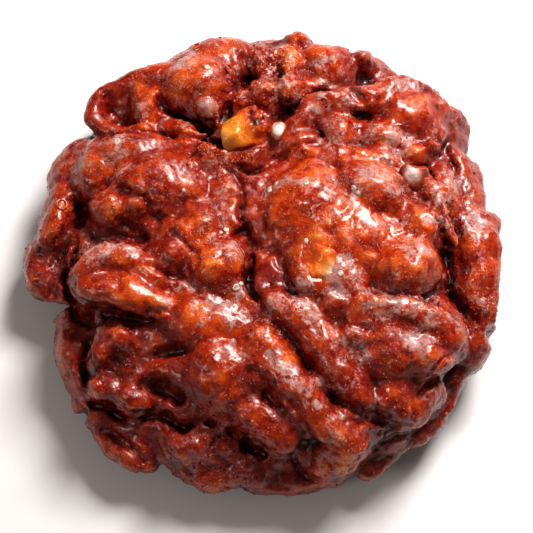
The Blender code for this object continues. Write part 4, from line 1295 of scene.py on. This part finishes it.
# %% [markdown]
# Grains of crust lie where it is cobbled, dried sugar mostly where the glaze is milky, and burnt
# crumbs in the hollows. None lies where no sky is seen, as nobody would see it there either. Their
# finishes are plain: one colour, a little uneven.
# %% Grains, sugar crumbs and burnt crumbs
SKY_LEAST = 0.35
SKY_FADE = 0.4
SUGAR_EVERYWHERE = 0.35
HOLLOW_FULL = 1.5
DARKER = 0.6


def plain_finish(name, colour, roughness, coat=0.0, glow=0.0):
    """A finish of one colour, a little uneven, and with glow some light passing through."""
    look = Surface(name, roughness, coat, 0.1, glow, (1.0, 0.6, 0.5), 0.6)
    shade = look.noise(look.place, 0.8, 2)
    darker = tuple(DARKER * part for part in colour)
    look.join(look.ramp(shade, ((0.35, darker), (0.6, colour))), look.sockets["Base Color"])
    return look.material


SUGAR = plain_finish("dried sugar", (0.78, 0.47, 0.38), 0.42, 0.15, 0.3)
BURNT = plain_finish("burnt crumb", (0.030, 0.008, 0.004), 0.25, 0.6)
open_sky = ease((read_attribute(dough, "sky") - SKY_LEAST) / SKY_FADE)
milk_and_sheen_share = SUGAR_EVERYWHERE + (1 - SUGAR_EVERYWHERE) * read_attribute(dough, "milk_and_sheen")
write_attribute(dough, "grainy", read_attribute(dough, "cobbled") * open_sky)
write_attribute(dough, "sugared", open_sky * milk_and_sheen_share)
write_attribute(dough, "sunken", ease(read_attribute(dough, "hollow") / HOLLOW_FULL) * open_sky)

# Crumbs: name, finish, value that they follow, number per square cm, radius from and to, flatness, seed
CRUMBS = (
    ("crust_grains", CRUST, "grainy", 10.0, 0.2, 0.45, 0.8, 3),
    ("sugar_crumbs", SUGAR, "sugared", 9.0, 0.07, 0.19, 0.6, 7),
    ("burnt_crumbs", BURNT, "sunken", 2.5, 0.15, 0.4, 0.6, 11),
)
small_pieces = [scatter(*row) for row in CRUMBS]


# %% [markdown]
# Some marks are too plain to leave to chance: thin raised lips where glaze crept and set, rings left
# by burst bubbles, and flat flakes of sugar. Their places are rows of tables, in millimetres seen
# from above, and each is dropped onto the crust before the trees give it its thickness.
# %% Lips, rings and flakes
# Lips of glaze: name, thickness, then x, y along each
LIPS = (
    ("wrinkle_a", 0.35, ((-41.8, 25.9), (-38.9, 26.3), (-35.5, 25.2))),
    ("wrinkle_b", 0.45, ((-42.2, 23.3), (-38.8, 23.9), (-34.2, 24.1))),
    ("wrinkle_c", 0.3, ((-40.6, 28.9), (-38.6, 29.8), (-35.9, 28.4))),
    ("bulge_a", 0.3, ((-50.3, 19.6), (-47.4, 16.9), (-44.2, 16.0), (-41.9, 17.3))),
    ("bulge_b", 0.3, ((-49.3, 20.8), (-47.0, 18.5), (-44.3, 17.7), (-42.5, 18.8))),
    ("flake_edge", 0.4, ((-23.3, 32.9), (-20.7, 31.5), (-18.2, 31.7), (-15.5, 30.1))),
    ("crown_a", 0.35, ((28.8, 10.3), (30.8, 11.7), (33.4, 12.5))),
    ("crown_b", 0.3, ((30.0, 9.0), (32.3, 10.0), (34.3, 11.2))),
    ("crown_c", 0.3, ((32.7, 6.6), (35.0, 7.0), (37.0, 5.9))),
    ("fruit_lip", 0.45, ((9.3, 1.9), (8.8, -0.6), (9.3, -3.7), (10.7, -5.7))),
    ("fruit_fall", 0.35, ((10.7, -5.7), (12.2, -7.7), (13.6, -9.7))),
    ("fold_head", 0.4, ((8.3, -8.7), (10.7, -11.0), (12.1, -13.7), (12.6, -16.2))),
    ("fold_side", 0.35, ((12.8, -17.7), (13.8, -20.1), (13.5, -22.6))),
    ("back_brow", 0.45, ((29.9, 31.2), (33.0, 32.8), (37.1, 31.9))),
    ("back_right_a", 0.35, ((19.3, 43.3), (22.0, 41.0), (24.2, 38.1))),
    ("back_right_b", 0.3, ((20.1, 45.0), (22.8, 43.4), (24.1, 42.2))),
    ("by_pale_a", 0.35, ((35.8, 17.6), (37.8, 16.2), (38.2, 14.3))),
    ("by_pale_b", 0.3, ((38.6, 18.2), (39.7, 18.9), (40.2, 20.1))),
    ("right_a", 0.35, ((42.7, 10.9), (44.6, 12.5), (45.9, 10.8))),
    ("right_b", 0.35, ((41.2, 3.2), (42.3, 5.0), (44.1, 6.3))),
    ("right_c", 0.4, ((45.5, -1.9), (46.9, -6.2), (50.3, -9.8))),
    ("boss_edge_a", 0.35, ((-9.5, 2.9), (-6.8, 1.1), (-4.9, -2.2))),
    ("boss_edge_b", 0.3, ((-8.3, 3.7), (-5.9, 1.6), (-4.1, -1.2))),
    ("knob_side", 0.35, ((-20.7, -6.9), (-18.2, -9.2), (-16.3, -12.2))),
    ("nodule_fall", 0.3, ((-40.3, 5.7), (-37.7, 3.9), (-35.2, 5.2))),
    ("front_lip", 0.45, ((-5.0, -37.0), (-2.2, -36.6), (1.0, -38.4), (3.4, -40.9), (4.8, -42.3))),
    ("rim_line", 0.35, ((-35.6, -43.1), (-31.8, -44.8), (-28.1, -47.7))),
    ("front_line", 0.4, ((-4.8, -47.9), (-0.7, -48.6), (3.6, -49.0), (8.5, -49.6))),
    ("hollow_line", 0.35, ((-23.4, -39.5), (-20.5, -39.0), (-18.1, -40.2))),
    ("bowl_a", 0.35, ((-42.5, 43.1), (-40.7, 44.3), (-38.6, 45.1))),
    ("bowl_b", 0.3, ((-34.3, 43.2), (-33.1, 41.0), (-33.3, 38.7))),
    ("left_top", 0.35, ((-44.8, 0.9), (-42.2, 1.6), (-39.2, 2.7))),
    ("tip_a", 0.4, ((18.1, -53.7), (20.7, -52.3), (22.4, -50.5), (23.9, -49.3))),
    ("right_front", 0.35, ((27.6, -47.7), (29.5, -45.4), (32.0, -44.8))),
    ("brow_a", 0.35, ((27.9, -12.2), (30.9, -12.8), (33.3, -13.9))),
    ("brow_b", 0.35, ((35.8, -15.2), (38.8, -15.9), (42.4, -17.2))),
)

# Rings of burst bubbles, and below them flakes of sugar: x, y, radius
RINGS = (
    (-17.6, 55.9, 1.0), (-19.3, 23.0, 1.0), (-22.9, 26.2, 0.6), (14.6, 38.3, 1.1), (10.8, 8.0, 1.0),
    (7.0, -11.2, 0.8), (-51.1, 14.4, 1.3), (-46.1, 27.7, 0.6), (1.3, 56.4, 0.6), (27.6, 32.7, 0.6),
    (42.8, 30.3, 0.5), (20.3, -27.0, 0.9), (-9.2, 49.2, 0.9), (-37.6, 9.9, 0.8), (-30.2, 46.4, 0.6),
    (-12.5, -26.0, 0.6),
)
FLAKES = (
    (-17.5, 55.1, 0.8), (-14.5, 48.2, 1.0), (-14.7, 45.9, 0.8), (1.2, 15.5, 1.3), (2.7, 16.6, 0.8),
    (10.1, 15.8, 1.0), (21.7, 14.5, 1.1), (22.7, 13.4, 0.8), (9.8, 10.6, 0.5), (10.0, 1.1, 0.9),
    (30.1, 24.0, 1.1), (31.4, 22.7, 0.8), (-9.5, 5.5, 1.0), (-10.8, 4.7, 0.8), (-7.0, -9.5, 1.3),
    (-5.8, -8.5, 0.8), (21.9, 37.6, 0.8), (20.3, 35.6, 0.8), (-37.0, 28.6, 1.3), (4.1, 56.4, 1.0),
    (5.9, 57.6, 1.0), (2.6, 54.6, 0.8), (-20.0, 14.9, 0.6), (29.8, -34.5, 0.8), (18.2, -7.2, 1.0),
)
HIGH_ABOVE = 60


def onto_crust(x, y):
    """The crust's point and normal under a place seen from above, in millimetres."""
    hit, point, normal, _ = dough.ray_cast(Vector((x, y, HIGH_ABOVE)) * MM, Vector((0, 0, -1)))
    return (point / MM, normal) if hit else (None, None)


print(len(LIPS), "lips,", len(RINGS), "rings and", len(FLAKES), "flakes")


# %% [markdown]
# A lip is a line, so its tree turns the line into a curve, lets the thickness swell in the middle and
# die away at both ends, and sweeps a small circle along it.
# %% The lips
LIP_SIDES = 8
LIP_TAPER = 0.6
LIP_NOISE = 1.2

# The smooth line's step, how deep a lip sinks as a share of its thickness, and the longest piece of
# line that is kept. A longer one would fall down a wall
LIP_STEP = 0.5
LIP_SUNK = 0.75
LIP_DROP = 0.9


def circle(graph, sides, radius):
    return graph.node("GeometryNodeCurvePrimitiveCircle", {"Resolution": sides, "Radius": radius}).outputs[0]


def lip_tree(material):
    """Sweeps a small circle along each line, thick in the middle and thin at both ends."""
    graph = Graph("Lip of glaze", "GeometryNodeTree", [
        ("Geometry", "Geometry"), ("Step", "Float", 0.35), ("Uneven", "Float", 1.2)],
        [("Geometry", "Geometry")])
    given = graph.given
    curve = graph.node("GeometryNodeMeshToCurve", {"Mesh": given["Geometry"]}).outputs[0]
    curve = graph.node("GeometryNodeResampleCurve", {
        "Curve": curve, "Length": graph.product(given["Step"], MM)}, mode="LENGTH").outputs[0]
    along_line = graph.node("GeometryNodeSplineParameter").outputs["Factor"]
    swell = graph.math("POWER", graph.math("SINE", graph.product(along_line, math.pi)), LIP_TAPER)
    place = graph.node("GeometryNodeInputPosition").outputs[0]
    uneven = graph.total(1.0, (graph.swing(place, LIP_NOISE * MM, 2), given["Uneven"]))
    thick = graph.product(graph.named("thick"), MM)
    sweep = graph.node("GeometryNodeCurveToMesh", {
        "Curve": curve, "Profile Curve": circle(graph, LIP_SIDES, 1.0), "Fill Caps": True,
        "Scale": graph.product(thick, graph.product(swell, uneven))})
    return graph.finish(sweep.outputs[0], material)


def make_lips():
    """One mesh of lines dropped onto the crust, which the tree then thickens."""
    points, thickness, edges = [], [], []
    for _, thick, line in LIPS:
        smooth = along([(*place, 0) for place in line], LIP_STEP)
        dropped = [onto_crust(x, y) for x, y, _ in smooth]
        kept = [point - normal * thick * LIP_SUNK for point, normal in dropped if point is not None]
        edges += [(len(points) + index, len(points) + index + 1) for index in range(len(kept) - 1)
                  if (kept[index + 1] - kept[index]).length < LIP_DROP]
        points += kept
        thickness += [thick] * len(kept)
    piece = new_object("glaze_lips", points, edges=edges)
    write_attribute(piece, "thick", thickness)
    run_tree(piece, lip_tree(GLAZE_LIP), {})
    print(piece.name, "has", triangles(piece), "triangles")
    return piece


GLAZE_LIP = plain_finish("set glaze", (0.50, 0.11, 0.050), 0.2, 0.6, 0.3)
small_pieces.append(make_lips())


# %% [markdown]
# Rings and flakes are copies of one shape each, laid flat on the crust and scaled, so they share a
# tree that stands its shape on points.
# %% The rings and flakes
WOBBLE_SIZE = 1.3
RING_SIDES = 20
RING_WIRE = 0.22
FLAKE_SIDES = 6
FLAKE_DEPTH = 1.4
FLAKE_SIZE = 0.75


def laid_tree(title, shape, material):
    """Lays a shape on each point, turned to the point's stored direction and scaled by its size."""
    graph = Graph(title, "GeometryNodeTree", [
        ("Geometry", "Geometry"), ("Flatness", "Float", 1.0), ("Wobble", "Float", 0.8)],
        [("Geometry", "Geometry")])
    given = graph.given
    turned = graph.node("FunctionNodeAlignRotationToVector", {
        "Vector": graph.named("way", "FLOAT_VECTOR")}, axis="Z").outputs[0]
    laid = graph.realize(stand_on(
        graph, given["Geometry"], shape(graph), turned, graph.named("size"), given["Flatness"]))
    place = graph.node("GeometryNodeInputPosition").outputs[0]
    push = graph.node("ShaderNodeTexNoise", {
        "Vector": place, "Scale": 1 / (WOBBLE_SIZE * MM), "Detail": 2}).outputs[1]
    push = graph.vector("SUBTRACT", push, (0.5, 0.5, 0.5))
    laid = graph.move(laid, graph.vector("SCALE", push, graph.product(given["Wobble"], MM)))
    return graph.finish(laid, material)


def ring_shape(graph):
    ring = circle(graph, RING_SIDES, 1.0)
    wire = circle(graph, LIP_SIDES, RING_WIRE)
    return graph.node("GeometryNodeCurveToMesh", {"Curve": ring, "Profile Curve": wire}).outputs[0]


def flake_shape(graph):
    return graph.node("GeometryNodeMeshCylinder", {
        "Vertices": FLAKE_SIDES, "Side Segments": 2, "Fill Segments": 2, "Radius": 1.0,
        "Depth": FLAKE_DEPTH}).outputs[0]


def lay(name, title, rows, size, shape, material, values):
    """One piece of the shape's copies, one for each row, at this share of the row's radius."""
    dropped = [(*onto_crust(x, y), size * radius) for x, y, radius in rows]
    points, ways, radii = zip(*(row for row in dropped if row[0] is not None))
    piece = new_object(name, points)
    way = piece.data.attributes.new("way", "FLOAT_VECTOR", "POINT")
    way.data.foreach_set("vector", np.array(ways, np.float32).ravel())
    write_attribute(piece, "size", radii)
    run_tree(piece, laid_tree(title, shape, material), values)
    print(name, "has", triangles(piece), "triangles")
    return piece


FLAKE = plain_finish("sugar flake", (0.95, 0.70, 0.62), 0.35, 0.3, 0.4)
small_pieces.append(lay("bubble_rings", "Ring of a burst bubble", RINGS, 1, ring_shape, GLAZE_LIP,
                        {"Flatness": 1.0, "Wobble": 0.35}))
small_pieces.append(lay("sugar_flakes", "Flake of sugar", FLAKES, FLAKE_SIZE, flake_shape, FLAKE,
                        {"Flatness": 0.16, "Wobble": 0.5}))


# %% [markdown]
# The diced apple that shows is glossy, and half clear where the sugar has soaked in. Each piece was a
# cube with sharp edges that the frying has rounded. A cube with a Bevel would stay too regular, so a
# finely cut cube is blown up to a rounded one, tapered and bent by noise.
# %% Pieces of apple
# Pieces of apple: name, centre x, y, z, length, width, height, turn, tilt x, tilt y, squareness, taper
APPLES = (
    ("apple_amber", -5.2, 31.3, 31, 13, 9.2, 7.5, 27, -16, 6, 2.5, -0.12),
    ("apple_bit", 3.2, 30.7, 33.8, 3.4, 4.4, 3.4, -16, -12, 10, 3.2, -0.2),
    ("apple_pale", 36.8, 18.8, 31.9, 7.4, 6.4, 6, -98, -8, 6, 2.2, 0.55),
    ("apple_crown", 13.1, -4.2, 35.7, 10.5, 9, 5.2, -52, 19, -5, 2.3, 0.15),
)

# How often a cube is cut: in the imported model, and finer here
APPLE_CUTS = 2
APPLE_FINE_CUTS = 5
APPLE_WOBBLE = 0.18
APPLE_WOBBLE_SIZE = 4
APPLE_NOISE_STEP = (11, 5)
APPLE_NOISE_HEIGHT = 2


def cut_cube(cuts):
    """The points and triangles of a cube two across, each face cut in halves this many times."""
    bpy.ops.mesh.primitive_cube_add(size=2)
    source = bpy.context.object
    modifier = source.modifiers.new("Cells", "SUBSURF")
    modifier.subdivision_type = "SIMPLE"
    modifier.levels = cuts
    modifier.render_levels = cuts
    apply_modifiers(source)
    points = np.array([vertex.co for vertex in source.data.vertices])
    quads = [tuple(face.vertices) for face in source.data.polygons]
    bpy.data.objects.remove(source)
    return points, [corners for a, b, c, d in quads for corners in ((a, b, c), (a, c, d))]


def make_apple(row, seed, cuts):
    """One dice of apple, rounded by frying and narrower at one end."""
    name, x, y, z, length, width, height, turn, tilt_x, tilt_y, squareness, taper = row
    cube, faces = cut_cube(cuts)
    ball = cube / np.linalg.norm(cube, axis=1)[:, None]
    swell = (np.abs(ball) ** squareness).sum(axis=1) ** (1 / squareness)
    shape = ball / swell[:, None]
    shape[:, 1:] *= 1 - taper * shape[:, :1]
    points = shape * (length / 2, width / 2, height / 2)
    start = Vector((seed * APPLE_NOISE_STEP[0], seed * APPLE_NOISE_STEP[1], APPLE_NOISE_HEIGHT))
    wobble = [noise.noise_vector(Vector(point) / APPLE_WOBBLE_SIZE + start) for point in points]
    points = points + APPLE_WOBBLE * (length + width + height) / 3 * np.array(wobble)
    place = Matrix.Translation((x, y, z)) @ Euler(
        (math.radians(tilt_x), math.radians(tilt_y), math.radians(turn))).to_matrix().to_4x4()
    return new_object(name, [place @ Vector(point) for point in points], faces)


# %% [markdown]
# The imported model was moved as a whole, to stand centred on its own origin. How far can be measured:
# one piece of apple is made as it was there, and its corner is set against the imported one's.
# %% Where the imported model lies
def frame_shift():
    """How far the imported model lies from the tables' own origin, read off one piece of apple."""
    made = make_apple(APPLES[0], 0, APPLE_CUTS)
    own = read_points(made).min(axis=0)
    bpy.data.objects.remove(made)
    return np.array(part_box(APPLES[0][0])[0]) / MM - own


SHIFT = frame_shift()
print("The tables' origin lies at", SHIFT.round(2), "mm in the packed model")


# %% [markdown]
# Cooked apple is half clear. Its colour runs from one spot outwards, and where the piece touched the
# fat it has a crust of its own, in the fried colour.
# %% The looks of the apple
APPLE_ROUGHNESS = 0.22
RIND_ROUGHNESS = 0.15
APPLE_BUMP = 0.35


def apple_material(name, colours, heart, reach, rise=0.55, mottle=1.6):
    """Half-clear fruit, whose colour runs through the given ones outwards from its heart."""
    look = Surface(name, APPLE_ROUGHNESS, 0.6, 0.08, 0.4, (1.0, 0.4, 0.12), 1.6)
    away = look.node("ShaderNodeVectorMath", {0: look.place, 1: tuple(np.array(heart) + SHIFT)},
                     operation="DISTANCE").outputs["Value"]
    cloud = look.swing(look.place, 2, 4, 0.8, 0.6)
    tone = look.total(look.math("DIVIDE", away, reach), (0.9, cloud))
    rind = look.attribute("rind")
    crust = look.group(FRIED, {"Place": look.place, "Rise": rise, "Mottle": mottle})
    look.join(look.mix(rind, look.ramp(tone, colours), crust["Colour"]), look.sockets["Base Color"])
    look.join(look.total(APPLE_ROUGHNESS, (RIND_ROUGHNESS, rind)), look.sockets["Roughness"])
    look.bump(look.noise(look.place, 0.8, 3, 0.4, 0.6), APPLE_BUMP)
    return look.material


AMBER_COLOURS = ((0.0, (0.70, 0.38, 0.12)), (0.35, (0.78, 0.31, 0.03)), (0.6, (0.74, 0.17, 0.008)),
                 (0.9, (0.50, 0.07, 0.006)))
PALE_COLOURS = ((0.25, (0.90, 0.76, 0.70)), (0.5, (0.66, 0.38, 0.32)), (0.72, (0.40, 0.10, 0.060)),
                (1.0, (0.28, 0.045, 0.015)))
CROWN_COLOURS = ((0.0, (0.88, 0.60, 0.46)), (0.25, (0.88, 0.38, 0.10)), (0.5, (0.84, 0.20, 0.014)),
                 (0.9, (0.60, 0.085, 0.008)))
APPLE_LOOKS = {
    "apple_amber": apple_material("amber cooked apple", AMBER_COLOURS, (-11, 28.5, 33), 13),
    "apple_bit": apple_material("clear cooked apple", PALE_COLOURS, (3.6, 30, 35), 4.4),
    "apple_pale": apple_material("pale cooked apple", PALE_COLOURS, (36, 18.4, 35.5), 4.2),
    "apple_crown": apple_material("cream cooked apple", CROWN_COLOURS, (16.5, -7, 38), 10, 0.66, 0.5),
}
print(len(APPLE_LOOKS), "looks of apple")


# %% [markdown]
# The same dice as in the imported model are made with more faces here. Three of them have a crusted
# end, which is roughened, and round the flush one on the crown the crust has grown over its rim. How
# crusted each point is goes into an attribute, which the material reads.
# %% Making the apple
# Crusted ends of apple: name, x, y, reach, height
RINDS = {
    "apple_amber": (-0.5, 35, 6.5, 1.0),
    "apple_pale": (38, 22.5, 2.8, 0.4),
    "apple_crown": (10, 0, 5.5, 0.35),
}
RIND_SIZE = 1.1
RIND_GAIN = 1.6

# Crust over the rim of a piece: name, x, y, turn, half length and half width of the clear middle
RIMS = {"apple_crown": (13.0, -5.0, -50, 4.4, 3.3)}
RIM_GAIN = 1.4
RIM_RAGGED = 0.9


def crust_apple(apple, rind, rim):
    """Crusts an end or the rim of the piece, and stores how crusted each point is."""
    points, normals = read_points(apple), read_normals(apple)
    share = np.zeros(len(points))
    lumps = np.array([noise.noise(Vector(point) / RIND_SIZE) for point in points])
    if rind:
        x, y, reach, height = rind
        share = ease(RIND_GAIN * (1 - np.hypot(points[:, 0] - x, points[:, 1] - y) / reach))
        write_points(apple, points + (height * share * lumps)[:, None] * normals)
    if rim:
        x, y, turn, half_length, half_width = rim
        away = (points[:, 0] - x + 1j * (points[:, 1] - y)) * np.exp(-1j * math.radians(turn))
        out = np.hypot(away.real / half_length, away.imag / half_width) - 1
        share = np.maximum(share, ease(RIM_GAIN * out + RIM_RAGGED * lumps))
    write_attribute(apple, "rind", share)


apples = {}
for seed, row in enumerate(APPLES):
    node = row[0]
    apple = make_apple(row, seed, APPLE_FINE_CUTS)
    apple.name = node + "_fruit"
    crust_apple(apple, RINDS.get(node), RIMS.get(node))
    apple.data.materials.append(APPLE_LOOKS[node])
    apples[node] = apple
    print(apple.name, "has", triangles(apple), "triangles")


def settle(piece, node=None):
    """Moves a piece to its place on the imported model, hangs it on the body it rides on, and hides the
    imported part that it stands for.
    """
    write_points(piece, read_points(piece) + SHIFT)
    piece.data.shade_smooth()
    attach(piece, BODY)
    if node:
        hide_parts(node)


settle(dough, "dough")
for piece in small_pieces:
    settle(piece)
for node, apple in apples.items():
    settle(apple, node)

bpy.context.view_layer.update()
